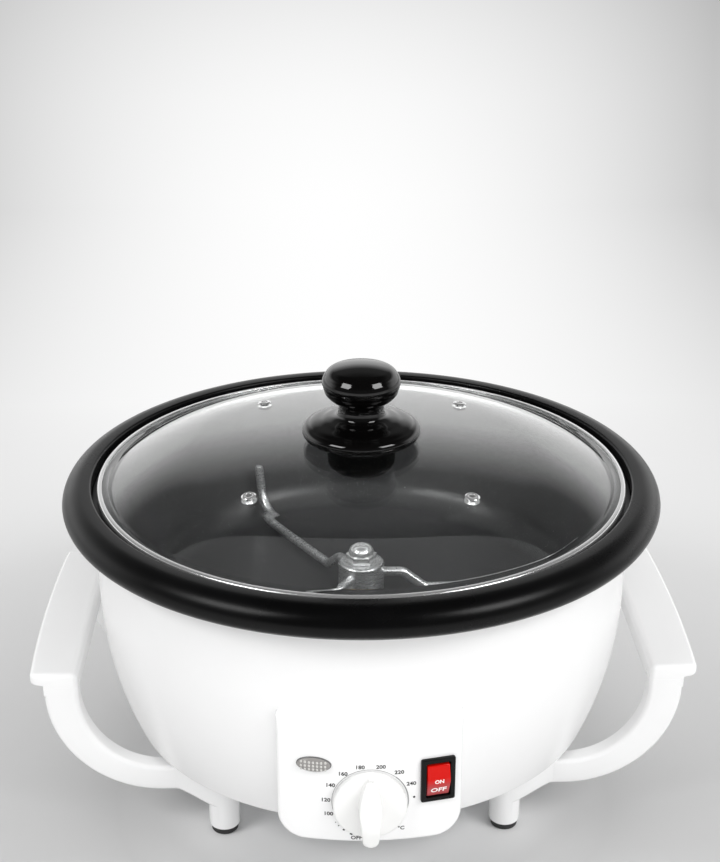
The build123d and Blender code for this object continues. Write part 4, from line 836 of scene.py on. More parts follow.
def dome(depth):
    """Upper face of the dome from the screw's hole to its flat edge, lowered by a depth."""
    hole, rows = 2.6, 14
    reaches = [hole + (CROWN_REACH - hole) * k / rows for k in range(rows + 1)]
    points = [(r, crown_height(r) - depth) for r in reaches]
    slope = -CROWN_REACH / sqrt(CROWN_RADIUS**2 - CROWN_REACH**2)
    flat = (GLASS_RADIUS - 5.0, GLASS_EDGE_TOP - depth)
    return points + tangent_arc(points[-1], (1, slope), flat, 24)


def eyelet_seats():
    """Frames on the dome's upper face, square to it, one for each eyelet."""
    seats = []
    turn = radians(-2.0)
    for side in (-1, 1):
        for end in (-1, 1):
            x, y = side * 49.2, end * 55.6
            x, y = x * cos(turn) - y * sin(turn), x * sin(turn) + y * cos(turn)
            rise = sqrt(CROWN_RADIUS**2 - x * x - y * y)
            lean = Vector((x, y, rise)).normalized().to_track_quat("Z", "Y").to_matrix().to_4x4()
            seats.append(shift(x, y, GLASS_APEX - CROWN_RADIUS + rise) @ lean)
    return seats


def make_glass():
    """Domed glass with four holes for its eyelets and one for the knob's screw."""
    edge = rounded(
        [
            (118.9, GLASS_EDGE_TOP, 0.0),
            (GLASS_RADIUS, GLASS_EDGE_TOP, 0.9),
            (GLASS_RADIUS, GLASS_EDGE_TOP - GLASS_THICKNESS, 0.9),
            (118.9, GLASS_EDGE_TOP - GLASS_THICKNESS, 0.0),
        ],
        closed=False,
    )
    profile = dome(0.0)[:-1] + edge + list(reversed(dome(GLASS_THICKNESS)))[1:]
    glass = turned(profile, 256)
    drills = []
    for seat in eyelet_seats():
        drill = turned([(0, -9), (2.2, -9), (2.2, 4), (0, 4)], 40)
        drills.append(moved(drill, seat))
    add_piece("domed_glass", combine(glass, drills), "lid_glass", "lid", ["lid_glass"])


def make_band():
    """Bright channel crimped round the glass."""
    low, high = PAN_TOP, BAND_TOP
    profile = rounded(
        [
            (122.1, low, 0.2), (124.5, low, 0.9), (124.5, high, 1.1), (122.1, high, 0.24),
            (122.1, high - 0.5, 0.24), (124.0, high - 0.5, 0.5),
            (124.0, low + 0.5, 0.5), (122.1, low + 0.5, 0.2),
        ],
        steps=5,
    )
    add_piece("steel_band", turned(profile, 256), "bright_steel", "lid", ["lid_band"])


def make_eyelets():
    """Rolled steel eyelets that let steam out through the glass."""
    parts = []
    for seat in eyelet_seats():
        low = -GLASS_THICKNESS - 0.15
        profile = rounded(
            [
                (1.6, 0.75, 0.35), (2.6, 0.8, 0.4), (3.6, 0.1, 0.1), (2.1, 0.1, 0.1),
                (2.1, low, 0.1), (3.6, low, 0.1), (3.4, low - 0.5, 0.2), (1.6, low - 0.5, 0.25),
            ],
            steps=4,
        )
        parts.append(moved(turned(profile, 48), seat))
    add_piece("vent_rings", merged(*parts), "bright_steel", "lid", ["vent_eyelets"])


def make_knob():
    """Glossy knob in two halves, its washer, the boss under the glass and its screw."""
    cap = [(0.0, KNOB_SEAM + 0.25), (16.9, KNOB_SEAM + 0.25), (17.35, KNOB_SEAM + 0.5)]
    cap += arc_through((17.35, KNOB_SEAM + 0.5), (18.3, 203.5), (16.9, 207.9), 14)
    cap += flowing([(16.9, 207.9), (13.2, 210.8), (0.0, KNOB_TOP)], (-0.5, 1.0), (-1, 0), 12)
    add_piece("knob_cap", turned(cap, FINE_TURNS), "black_knob", "lid", ["lid_knob_cap"])

    body = [(2.55, 176.5), (15.5, 176.5), (15.5, 176.9), (15.7, 177.0), (25.0, 177.0)]
    body += arc_through((25.0, 177.0), (27.9, 180.1), (24.9, 183.4), 14)
    body += flowing([(24.9, 183.4), (18.0, 185.6), (11.0, 188.5)], (-1, 0.75), (-0.35, 1), 10)
    body += [(10.6, 192.5)]
    body += flowing([(10.6, 192.5), (15.0, 196.6), (17.3, 199.6)], (0.1, 1), (0.35, 1), 10)
    body += [(16.9, 199.95), (2.55, 199.95)]
    add_piece("knob_body", turned(body, FINE_TURNS), "black_knob", "lid", ["lid_knob_body"])

    washer = rounded(
        [(2.6, 175.5, 0.1), (14.9, 175.4, 0.1), (14.9, 176.5, 0.35), (2.6, 176.5, 0.1)]
    )
    add_piece("knob_washer", turned(washer, FINE_TURNS), "soft_gasket", "lid", ["lid_knob_gasket"])

    low = GLASS_APEX - GLASS_THICKNESS - 11.5
    boss = rounded(
        [
            (2.6, low + 3.2, 0.0), (4.7, low + 3.2, 0.3), (4.7, low - 2.0, 0.5),
            (16.0, low - 2.0, 5.5), (16.0, 171.2, 0.3), (2.6, 171.4, 0.0),
        ],
        steps=8,
    )
    add_piece("knob_boss", turned(boss, FINE_TURNS), "black_boss", "lid", ["lid_knob_retainer"])
    screw = pan_head(4.6, 2.8, 2.5, KNOB_SEAM + 3.5 - low - 3.2)
    moved(screw, head_down(0, 0, low + 3.2))
    add_piece("knob_screw", screw, "screw_steel", "lid", ["lid_knob_screw"])


# ------------------------------------------------------------------ screws
def pan_head(head_radius, head_height, shank_radius, length):
    """Cross-recessed screw: head up from z = 0, threaded shank below it."""
    head = [(0, head_height)]
    shoulder = (head_radius * 0.75, head_height * 0.86)
    head += arc_through((0.0, head_height), shoulder, (head_radius, head_height * 0.35), 8)
    head += [(head_radius, 0.15), (head_radius - 0.15, 0.0), (shank_radius, 0.0)]
    pitch, depth = 0.8, 0.22
    for k in range(int((length - 1.0) / pitch)):
        z = -0.3 - k * pitch
        head += [(shank_radius, z), (shank_radius - depth, z - pitch / 2)]
    head += [(shank_radius * 0.8, -length + 0.3), (0, -length)]
    body = turned(head, 40)
    cross = rectangle(head_radius * 1.1, head_radius * 0.24, 0.05)
    slots = []
    for turn in (0.0, pi / 2):
        slot = soft_prism(cross, head_height * 0.35, head_height + 1)
        slots.append(moved(slot, Matrix.Rotation(turn + 0.4, 4, "Z")))
    return combine(body, slots)


def make_screws():
    """The screws that can be seen from below or through the vents."""
    ring = 106.9
    base = [(ring * cos(a), ring * sin(a)) for a in (0, pi / 2, pi, 3 * pi / 2)] + [(-38.0, 46.0)]
    parts = []
    for x, y in base:
        parts.append(moved(pan_head(3.8, 2.2, 1.9, 8.0), head_down(x, y, HOUSING_BOTTOM)))
    add_piece("base_plate_screws", merged(*parts), "screw_steel", replaces=["base_screws"])
    parts = []
    for x in (-83.5, 83.5):
        for y in (-58.0, 58.0):
            parts.append(moved(pan_head(3.8, 2.2, 1.9, 11.0), head_down(x, y, 22.6)))
    add_piece("strap_screws", merged(*parts), "screw_steel", replaces=["handle_screws"])


# ------------------------------------------------------------------ handles and legs
def grip_section(x_out, shrink):
    """Section of the grip: flat top, lip on the outer side, larger rounding inside."""
    low, high = 74.5 + shrink, 87.0 - shrink
    x_in, out = 131.2 + shrink, x_out - shrink
    lip = min(146.7, out - 0.3)
    soft = max(1.0 - shrink / 2.2, 0.12)
    under = max(81.6 - 0.25 * (out - lip), low + 1.4)
    return rounded(
        [
            (x_in, low, 3.4 * soft), (lip, low, 0.3 * soft), (lip + 0.05, under, 1.2 * soft),
            (out, under + 0.9, 2.0 * soft), (out, high, 2.2 * soft), (x_in, high, 3.6 * soft),
        ],
        steps=6,
    )


def grip_reach(y):
    """Outer edge of the grip at a place along it, with its rounded outer corners."""
    corner = 3.6
    edge = 155.0 - 2.2 * (y / GRIP_HALF) ** 2
    over = abs(y) - (GRIP_HALF - corner)
    if over > 0:
        edge -= corner - sqrt(max(corner * corner - over * over, 0.0))
    return edge


def mirrored(bm):
    """The same mesh on the other side of x = 0, with its faces still looking outwards."""
    moved(bm, Matrix.Scale(-1, 4, (1, 0, 0)))
    bmesh.ops.reverse_faces(bm, faces=bm.faces)
    return bm


def strap_edges():
    """Pairs of points (x, z) on a strap's outer and inner side, from the leg up to the grip."""
    edges = [(Vector((x, STRAP_FOOT)), Vector((x, 36.4))) for x in (STRAP_END, 92.0)]
    centre_x, centre_z = 95.0, 75.5
    for k in range(29):
        t = pi / 2 * k / 28
        edges.append((
            Vector((centre_x + 51.7 * sin(t), centre_z - 51.9 * cos(t))),
            Vector((centre_x + 36.2 * sin(t), centre_z - 39.1 * cos(t))),
        ))
    return edges + [(Vector((146.85, z)), Vector((131.1, z))) for z in (centre_z + 3.0, 80.0)]


def make_handle(side, name, node):
    """Grip with two straps that curve down and in under the bowl."""
    half, soft = GRIP_HALF, 2.2
    stations = []
    for step, a in enumerate(quarter_turn(6)):
        stations.append((-half + soft * (1 - cos(a)) if step else -half, soft * (1 - sin(a))))
    stations += [(-half + soft + (6.0 - soft) * k / 6, 0.0) for k in range(1, 7)]
    stations += [(-half + 6.0 + (half - 6.0) * k / 10, 0.0) for k in range(1, 11)]
    stations += [(-y, shrink) for y, shrink in reversed(stations[:-1])]
    levels = []
    for y, shrink in stations:
        levels.append([(x, y, z) for x, z in grip_section(grip_reach(y), shrink)])
    grip = stacked(levels)

    straps = []
    for end in (-1, 1):
        middle = end * (half - 5.0)
        levels = []
        for outer, inner in strap_edges():
            across = inner - outer
            loop = []
            for u, v in rectangle(across.length, 10.15, 2.1, steps=5):
                p = (outer + inner) / 2 + across.normalized() * u
                loop.append((p.x, middle + v, p.y))
            levels.append(loop)
        straps.append(stacked(levels))
    whole = combine(grip, straps, "UNION")
    if side < 0:
        mirrored(whole)
    add_piece(name, whole, "white_shell", replaces=[node])


def make_leg(x, y, name, node):
    """Round leg with the block that takes the end of a strap."""
    post = [(2.6, 3.0, 0.1), (7.25, 3.0, 1.3), (7.25, LEG_TOP, 0.1), (2.6, LEG_TOP, 0.1)]
    leg = moved(turned(rounded(post, steps=5), 64), shift(LEG_X, 0, 0))
    levels = []
    for k in range(15):
        t = k / 14
        along = LEG_X + (STRAP_END - LEG_X) * t
        ease = t * t * (3 - 2 * t)
        half = 7.2 - 2.2 * ease
        low = 14.2 + (STRAP_FOOT - 14.2) * min(1.0, (t * 1.06) ** 1.15)
        high = LEG_TOP - 4.1 * max(t - 0.5, 0.0) * 2
        lean = -2.0 * ease * y / abs(y)
        section = rectangle(2 * half, high - low, 2.1, y=(high + low) / 2)
        levels.append([(along, v + lean, u) for v, u in section])
    whole = moved(combine(leg, [stacked(levels)], "UNION"), shift(0, y, 0))
    if x < 0:
        mirrored(whole)
    add_piece(name, whole, "white_shell", replaces=[node])


def make_feet():
    """Rubber pads pressed into the legs."""
    profile = [
        (0, 0.35, 0.0), (3.6, 0.35, 0.1), (3.9, 0.0, 0.1), (6.2, 0.0, 0.9), (6.4, 3.0, 0.4),
        (2.5, 3.0, 0.1), (2.5, 9.0, 0.5), (0, 9.0, 0.0),
    ]
    pad = rounded(profile, closed=False)
    parts = []
    for x in (-LEG_X, LEG_X):
        for y in (-LEG_Y, LEG_Y):
            parts.append(moved(turned(pad, 64), shift(x, y, 0)))
    add_piece("rubber_feet", merged(*parts), "foot_rubber", replaces=["foot_pads"])


# ------------------------------------------------------------------ control panel
def on_panel(x, z, radius):
    """Point on the panel's curved face."""
    return (x, -sqrt(max(radius * radius - x * x, 0.0)), z)


def panel_outline(shrink):
    """Front view of the box, set in from its edge: square above, well rounded below."""
    w, low, high = 39.3 - shrink, 42.9 + shrink, PANEL_TOP - shrink
    top = max(3.0 - shrink, 0.4)
    foot = 11.5 - shrink
    return rounded([(-w, low, foot), (w, low, foot), (w, high, top), (-w, high, top)], steps=12)


def divided(outline, longest):
    """The same outline with its long edges divided."""
    result = []
    for (ax, ay), (bx, by) in zip(outline, outline[1:] + outline[:1]):
        parts = max(1, ceil(hypot(bx - ax, by - ay) / longest))
        result += [(ax + (bx - ax) * k / parts, ay + (by - ay) * k / parts) for k in range(parts)]
    return result


def panel_face(x, z):
    """Point on the panel's face, which slopes back above the ramp's start."""
    return on_panel(x, z, PANEL_RADIUS - panel_ramp(z))


def panel_ramp(z):
    """How far the face stands back at a height near its upper edge."""
    return max(z - (PANEL_TOP - 4.9), 0.0) * 0.56


def make_panel():
    """White box whose face follows the bowl, with its openings for dial, switch and lamp."""
    edge, middle = 1.3, 75.0
    base = divided(panel_outline(0.0), 4.0)
    levels = []
    for depth in (34.0, 20.0, 6.0):
        levels.append([on_panel(x, z, PANEL_RADIUS - depth) for x, z in base])
    for a in quarter_turn(6):
        depth = edge * (1 - sin(a))
        loop = []
        for x, z in inset(base, edge * (1 - cos(a))):
            loop.append(on_panel(x, z, PANEL_RADIUS - max(depth, panel_ramp(z))))
        levels.append(loop)
    front = inset(base, edge)
    for share in (
        0.985, 0.97, 0.95, 0.93, 0.91, 0.89, 0.87, 0.85, 0.83, 0.78, 0.65, 0.5, 0.35, 0.2, 0.1
    ):
        levels.append([panel_face(x * share, middle + (z - middle) * share) for x, z in front])
    box = stacked(levels)
    low_side = divided(panel_outline(2.4), 5.0)
    hollow = []
    for depth in (50.0, 20.0, 6.2):
        hollow.append([on_panel(x, z, PANEL_RADIUS - depth) for x, z in low_side])
    bowl = [(0, 36.0)] + [(wall_radius(z), z) for z in [40.5 + 2.0 * k for k in range(35)]]
    bowl += [(HOUSING_TOP_RADIUS, 120.0), (0, 120.0)]
    openings = []
    for outline, azimuth, height in (
        (rectangle(13.0, 19.0, 0.3), SWITCH_AZIMUTH, SWITCH_Z),
        (ellipse(6.3, 2.35), LAMP_AZIMUTH, LAMP_Z),
        (ellipse(4.6, 4.6), 0.0, DIAL_Z),
    ):
        openings.append(moved(soft_prism(outline, -9, 6), panel_frame(azimuth, height)))
    box = combine(box, [stacked(hollow), turned(bowl, 256), *openings])
    add_piece("panel_box", box, "white_shell", replaces=["control_box"])


def printed(bm, height):
    """Flat shape (x, z) given thickness on the panel's face."""
    for vert in bm.verts:
        x, z, y = vert.co.x, vert.co.y, vert.co.z
        vert.co = on_panel(x, z, PANEL_RADIUS + (height if y > 0 else -0.02))
    return bm


def lettering(text, size, x, z, spread):
    """Flat letters as a mesh 0 to 1 thick, centred on a point and spread sideways."""
    curve = bpy.data.curves.new("letters", "FONT")
    curve.body = text
    curve.size = size
    curve.align_x, curve.align_y = "CENTER", "CENTER"
    curve.offset = size * 0.024
    curve.resolution_u = 3
    holder = bpy.data.objects.new("letters", curve)
    bpy.context.scene.collection.objects.link(holder)
    mesh = bpy.data.meshes.new_from_object(holder)
    bm = bmesh.new()
    bm.from_mesh(mesh)
    bpy.data.objects.remove(holder)
    bpy.data.curves.remove(curve)
    bpy.data.meshes.remove(mesh)
    bmesh.ops.remove_doubles(bm, verts=bm.verts, dist=1e-5)
    raised = bmesh.ops.extrude_face_region(bm, geom=list(bm.faces))
    for item in raised["geom"]:
        if isinstance(item, bmesh.types.BMVert):
            item.co.z = 1.0
    bmesh.ops.recalc_face_normals(bm, faces=bm.faces)
    return moved(bm, shift(x, z, 0) @ Matrix.Diagonal((spread, 1, 1, 1)))


def ring_patch(radius, width, first, last):
    """Part of a flat ring, 0 to 1 thick; angles are clockwise from the top."""
    steps = max(6, int(abs(last - first) / 3))
    angles = [radians(first + (last - first) * k / steps) for k in range(steps + 1)]
    outline = []
    for edge, order in ((radius + width / 2, angles), (radius - width / 2, angles[::-1])):
        outline += [(edge * sin(a), DIAL_Z + edge * cos(a)) for a in order]
    count = len(outline)
    bm = bmesh.new()
    low = [bm.verts.new((x, z, 0.0)) for x, z in outline]
    high = [bm.verts.new((x, z, 1.0)) for x, z in outline]
    bridge(bm, [low, high])
    half = count // 2
    for k in range(half - 1):
        a, b, c, d = k, k + 1, count - 2 - k, count - 1 - k
        bm.faces.new((high[a], high[b], high[c], high[d]))
        bm.faces.new((low[d], low[c], low[b], low[a]))
    bmesh.ops.recalc_face_normals(bm, faces=bm.faces)
    return bm


SCALE_MARKS = [
    # text, degrees clockwise from the top, distance from the dial's axis
    ("100", 250.0, 18.8), ("120", 271.5, 18.8), ("140", 295.6, 18.6), ("160", 320.6, 18.1),
    ("180", 346.2, 17.9), ("200", 14.7, 18.0), ("220", 40.7, 18.9), ("240", 65.0, 19.3),
    ("OFF", 197.5, 19.2), ("\u00b0C", 136.5, 19.3),
]
# painted shadow of the dial skirt's edge: a grey ring just outside the skirt, thicker on the right
SKIRT_SHADOW_RINGS = [(16.2, 0.18, -115.0, 42.0), (16.3, 0.38, 42.0, 122.0), (16.2, 0.18, 122.0, 172.0)]
TICKS = [(234.0, 0.34), (227.5, 0.45), (218.0, 0.72), (206.0, 0.95)]


def make_scale(number, ink_height):
    """Printed numbers and marks round the dial, and a painted shadow ring just outside the dial's
    skirt.
    """
    parts = []
    for text, angle, reach in SCALE_MARKS:
        a = radians(angle)
        x, z = reach * sin(a), DIAL_Z + reach * cos(a)
        parts.append(lettering(text, number, x, z, 1.12))
    for angle, size in TICKS:
        parts.append(ring_patch(18.1, size, angle - size * 1.9, angle + size * 1.9))
    a = radians(86.0)
    dot = soft_prism(ellipse(0.5, 0.5, 16), 0.0, 1.0)
    parts.append(moved(dot, shift(18.8 * sin(a), DIAL_Z + 18.8 * cos(a), 0)))
    add_piece("dial_scale", printed(merged(*parts), ink_height), "print_dark")
    # the grey ring is painted shadow at the skirt's edge, not print
    rings = [ring_patch(*ring) for ring in SKIRT_SHADOW_RINGS]
    add_piece("dial_skirt_shadow", printed(merged(*rings), ink_height), "painted_shadow_grey")


# ------------------------------------------------------------------ dial
def leaf_width(v):
    """Half width of the dial's grip at a height on the dial: widest just above the middle."""
    points = [
        (-20.0, 3.5), (-11.4, 3.6), (-5.0, 4.2), (1.0, 4.9), (5.0, 4.7), (9.0, 3.6),
        (12.0, 2.2), (14.0, 1.25), (20.0, 1.1),
    ]
    for (v0, w0), (v1, w1) in zip(points, points[1:]):
        if v <= v1:
            t = (v - v0) / (v1 - v0)
            t = t * t * (3 - 2 * t) * 0.5 + t * 0.5
            return w0 + (w1 - w0) * t
    return points[-1][1]


def grip_roof(v):
    """Height of the dial's grip: it rises from the narrow end, then runs level to the tip."""
    rise = 5.0 + (14.6 - v) * 0.66
    level = 13.6 - 0.035 * max(-v - 2.0, 0.0) ** 1.5
    blend = 1.6
    return min(rise, level) - blend * max(0.0, 1.0 - abs(rise - level) / (4 * blend)) ** 2


def make_dial():
    """Round skirt with a leaf-shaped grip that the fingers turn; its wide end is the pointer."""
    base = 0.6
    skirt = [(0, base + 2.0), (8.2, base + 2.0), (8.2, base + 0.15), (8.35, base), (15.4, base)]
    skirt += tangent_arc((15.4, base), (1, 0), (15.75, base + 0.35), 4)
    skirt += [(15.75, base + 2.2)]
    skirt += tangent_arc((15.75, base + 2.2), (0, 1), (14.75, base + 3.2), 6)
    skirt += [(13.6, base + 3.25), (9.0, base + 3.6), (0, base + 4.0)]
    disc = turned(skirt, FINE_TURNS)
    tip, top = -15.0, 14.6
    wide, narrow = 3.6, 1.2
    ends, rows = 12, 34
    outline = []
    for k in range(ends + 1):
        a = pi + pi * k / ends
        outline.append((wide * cos(a), tip + wide + wide * sin(a)))
    side = [tip + wide + (top - narrow - tip - wide) * k / rows for k in range(1, rows)]
    outline += [(leaf_width(v), v) for v in side]
    for k in range(ends + 1):
        a = pi * k / ends
        outline.append((narrow * cos(a), top - narrow + narrow * sin(a)))
    outline += [(-leaf_width(v), v) for v in reversed(side)]
    foot = base + 2.8
    low = foot + 2.2
    soft = 0.9
    levels = []
    for a in quarter_turn(6):
        spread = 1.7 * (1 - sin(a))
        wider, longer = 1 + spread * 0.16, 1 + spread * 0.012
        height = foot + 2.2 * (1 - cos(a))
        levels.append([(x * wider, y * longer, height) for x, y in outline])
    for k in range(1, 9):
        f = k / 8
        draft = 0.55 * sin(pi * f) + 0.25 * f
        level = []
        for x, y in inset(outline, draft * 0.4):
            level.append((x, y, low + max(grip_roof(y) - soft - low, 0.05 * f) * f))
        levels.append(level)
    for a in quarter_turn(5)[1:]:
        loop = inset(outline, 0.1 + 0.75 * (1 - cos(a)))
        levels.append([(x, y, grip_roof(y) - soft * (1 - sin(a))) for x, y in loop])
    edge = levels[-1]
    for share in (0.85, 0.7, 0.55, 0.4, 0.25, 0.1, 0.02):
        rise = 0.35 * (1 - share * share)
        levels.append([(x * share, y, grip_roof(y) + rise) for x, y, _ in edge])
    knob = combine(disc, [stacked(levels)], "UNION")
    knob = combine(knob, [turned([(0, -1.0), (3.05, -1.0), (3.05, 11.0), (0, 11.0)], 40)])
    moved(knob, panel_frame(0.0, DIAL_Z))
    add_piece(
        "dial_knob", knob, "white_knob", "dial", ["thermostat_knob"], smooth=radians(50.0)
    )


# ------------------------------------------------------------------ switch and lamp
def make_switch():
    """Black bezel and body with a red rocker that tips about its pins."""
    place = panel_frame(SWITCH_AZIMUTH, SWITCH_Z)
    bezel = soft_prism(rectangle(15.0, 21.0, 0.9), 0.0, 1.6, 0.15, 0.5)
    body = soft_prism(rectangle(12.8, 18.8, 0.4), -15.0, 0.3, 0.4)
    well = soft_prism(rectangle(10.8, 17.0, 0.5), -8.0, 3.0)
    case = combine(combine(bezel, [body], "UNION"), [well])
    add_piece("switch_case", moved(case, place), "switch_black", replaces=["switch_housing"])

    half, pin_depth = 7.7, 3.0
    profile = rounded(
        [
            (-half, -2.7, 0.3), (-3.1, -6.0, 1.0), (3.1, -6.0, 1.0), (half, -2.7, 0.3),
            (half, 0.7, 0.6), (0.5, 3.3, 6.0), (-half, 1.5, 0.7),
        ],
        steps=8,
    )
    rocker = soft_prism(profile, -5.0, 5.0, 0.45, 0.45)
    moved(rocker, Matrix(((0, 0, 1, 0), (1, 0, 0, 0), (0, 1, 0, 0), (0, 0, 0, 1))))
    pin = rounded([(0, -5.9, 0), (1.5, -5.9, 0.2), (1.5, 5.9, 0.2), (0, 5.9, 0)], closed=False)
    pins = moved(turned(pin, 24), shift(0, 0, -pin_depth) @ Matrix.Rotation(pi / 2, 4, "Y"))
    tip = Matrix.Rotation(radians(7.0), 4, "X")
    tip = place @ shift(0, 0, -pin_depth) @ tip @ shift(0, 0, pin_depth)
    rocker = moved(merged(rocker, pins), tip)
    add_piece("red_rocker", rocker, "rocker_red", "rocker", ["switch_rocker"])
    words = []
    ridge = sorted(point for point in profile if point[1] > 1.6)
    for text, y, size in (("ON", 0.75, 2.4), ("OFF", -4.2, 3.6)):
        word = lettering(text, size, 0.0, y, 1.1)
        for vert in word.verts:
            x, v, h = vert.co
            vert.co = (x, v, between(ridge, v) + (0.07 if h > 0.5 else -0.05))
        words.append(word)
    add_piece("rocker_words", moved(merged(*words), tip), "print_white", "rocker")


def between(points, place):
    """Height of a line of (place, height) points at a place along it."""
    for (x0, z0), (x1, z1) in zip(points, points[1:]):
        if place <= x1:
            return z0 + (z1 - z0) * (place - x0) / (x1 - x0)
    return points[-1][1]


def lens_outline(share):
    """Half width and half height of the lens, drawn in by a share of its rounding."""
    return 7.2 - 3.2 * share, 3.25 - 2.0 * share


def lens_height(x, y):
    """Height of the lamp's lens above the panel at a place on it."""
    low, high = 0.0, 1.0
    for _ in range(30):
        middle = (low + high) / 2
        wide, tall = lens_outline(middle)
        if (x / wide) ** 2 + (y / tall) ** 2 > 1:
            high = middle
        else:
            low = middle
    return LENS_SIDE + LENS_CROWN * sqrt(max(1 - (1 - low) ** 2, 0.0))


def make_lamp(spacing):
    """Oval lens with rows of small beads and a stem behind the panel."""
    place = panel_frame(LAMP_AZIMUTH, LAMP_Z)
    levels = [[(x, y, 0.0) for x, y in ellipse(*lens_outline(0.0))]]
    for a in quarter_turn(8):
        height = LENS_SIDE + LENS_CROWN * sin(a)
        levels.append([(x, y, height) for x, y in ellipse(*lens_outline(1.0 - cos(a)))])
    lens = stacked(levels)
    stem = rounded([(0.82, -9.0, 0.05), (1.0, -9.0, 0.05), (1.0, 0.3, 0.02), (0.82, 0.3, 0.02)])
    stem = moved(turned(stem, 64), Matrix.Diagonal((6.2, 2.25, 1.0, 1.0)))
    add_piece("lamp_window", moved(merged(lens, stem), place), "lamp_clear", replaces=["lamp_lens"])
    bead = [(0.0, 0.3), (0.38, 0.22), (0.62, 0.0), (0.62, -0.3), (0.0, -0.3)]
    beads = []
    for column in range(7):
        for row in range(3):
            x, y = (column - 3) * spacing, (row - 1) * 1.62
            if (x / 6.6) ** 2 + (y / 2.95) ** 2 <= 1.0:
                seat = shift(x, y, lens_height(x, y)) @ Matrix.Diagonal((0.85, 1.1, 1.0, 1.0))
                beads.append(moved(turned(bead, 20), seat))
    add_piece("lamp_beads", moved(merged(*beads), place), "lamp_beads")
    collar = soft_prism(ellipse(7.55, 3.6), -0.05, 0.5, 0, 0.25)
    collar = combine(collar, [soft_prism(ellipse(7.15, 3.2), -1.0, 2.0)])
    add_piece("lamp_collar", moved(collar, place), "lamp_collar")


# ------------------------------------------------------------------ stirrer
def make_stirrer():
    """Hub, three bent arms and the domed nut, which turn together."""
    low = 96.6
    hub = [
        (SHAFT_RADIUS, low + 3.8, 0.1), (6.95, low + 3.8, 0.1), (6.95, low, 0.2), (11.0, low, 0.6),
        (11.0, low + 16.0, 1.4), (SHAFT_RADIUS, low + 16.0, 0.2),
    ]
    hub = turned(rounded(hub), FINE_TURNS)
    add_piece("sweep_hub", hub, "shaft_steel", "stirrer", ["stirrer_hub"])
    route = [
        (7.1, 106.6, 0), (20.0, 106.6, 6.0), (31.0, 97.85, 6.0), (99.75, 97.85, 14.0),
        (104.4, 119.85, 0),
    ]
    path = [(x, 0.0, z) for x, z in rounded(route, closed=False, steps=12)]
    arms = []
    for k in range(3):
        arms.append(moved(tube(path, 2.25, 24), Matrix.Rotation(2 * pi * k / 3, 4, "Z")))
    add_piece("sweep_arms", merged(*arms), "shaft_steel", "stirrer", ["stirrer_arms"])
    hexagon = [(7.5 * cos(pi / 3 * k), 7.5 * sin(pi / 3 * k), 0.9) for k in range(6)]
    nut = soft_prism(rounded(hexagon, steps=4), 112.6, 116.6, 0.3, 0.4)
    cap = [(0, 116.3), (6.1, 116.3), (6.1, 117.0)]
    cap += tangent_arc((6.1, 117.0), (0, 1), (0.0, 120.6), 14)
    nut = combine(nut, [turned(cap, 64)], "UNION")
    bore = turned([(0, 112.0), (SHAFT_RADIUS, 112.0), (SHAFT_RADIUS, 118.6), (0, 118.6)], 48)
    add_piece("cap_nut", combine(nut, [bore]), "bright_steel", "stirrer", ["stirrer_nut"])


def make_gland():
    """Bushing in the rear wall that the cord leaves through."""
    wall = wall_radius(CORD_Z)
    profile = rounded(
        [
            (3.5, wall - 9.2, 0.3), (6.0, wall - 9.2, 0.4), (6.0, wall - 0.6, 0.1),
            (8.5, wall - 0.6, 0.2), (8.5, wall + 2.5, 0.8), (6.2, wall + 2.5, 0.4),
            (5.8, wall + 6.5, 1.0), (3.5, wall + 6.5, 0.5),
        ],
        steps=4,
    )
    gland = moved(turned(profile, 64), shift(0, 0, CORD_Z) @ Matrix.Rotation(-pi / 2, 4, "X"))
    add_piece("cord_bushing", gland, "gland_black", replaces=["cord_gland"])


# ------------------------------------------------------------------ stage
# painted shade and light as grey levels at distances in metres: along Y, darkest in a painted
# shadow band at the machine's front edge; round the pan's axis, paler under the machine as painted
# light on its shadow; and along Y far behind, the backdrop's painted falloff
FLOOR_PAINTED_SHADE = [
    (-5.0, 0.92), (-1.4, 0.85), (-0.26, 0.8), (-0.1, 0.53), (0.05, 0.68), (0.22, 0.82),
    (0.5, 0.95), (4.0, 0.97),
]
PAINTED_LIGHT_ROUND_MACHINE = [
    (0.0, 0.95), (0.078, 0.95), (0.095, 0.8), (0.112, 0.66), (0.135, 0.55), (0.16, 0.5), (0.2, 0.4)
]
BACKDROP_PAINTED_FALLOFF = [
    (0.0, 0.66), (0.21, 0.82), (0.49, 1.0), (1.15, 1.0), (1.74, 0.96), (2.72, 0.86), (4.5, 0.7)
]


def level_ramp(tree, value, stops):
    """Grey levels at places along a value; returns the ramp's colour."""
    first, last = stops[0][0], stops[-1][0]
    node = add_node(tree, "ValToRGB", Fac=range_node(tree, value, first, last, 0.0, 1.0))
    ramp = node.color_ramp
    while len(ramp.elements) < len(stops):
        ramp.elements.new(0.5)
    for element, (reach, level) in zip(ramp.elements, stops):
        element.position = (reach - first) / (last - first)
        element.color = (level, level, level, 1.0)
    return node.outputs["Color"]


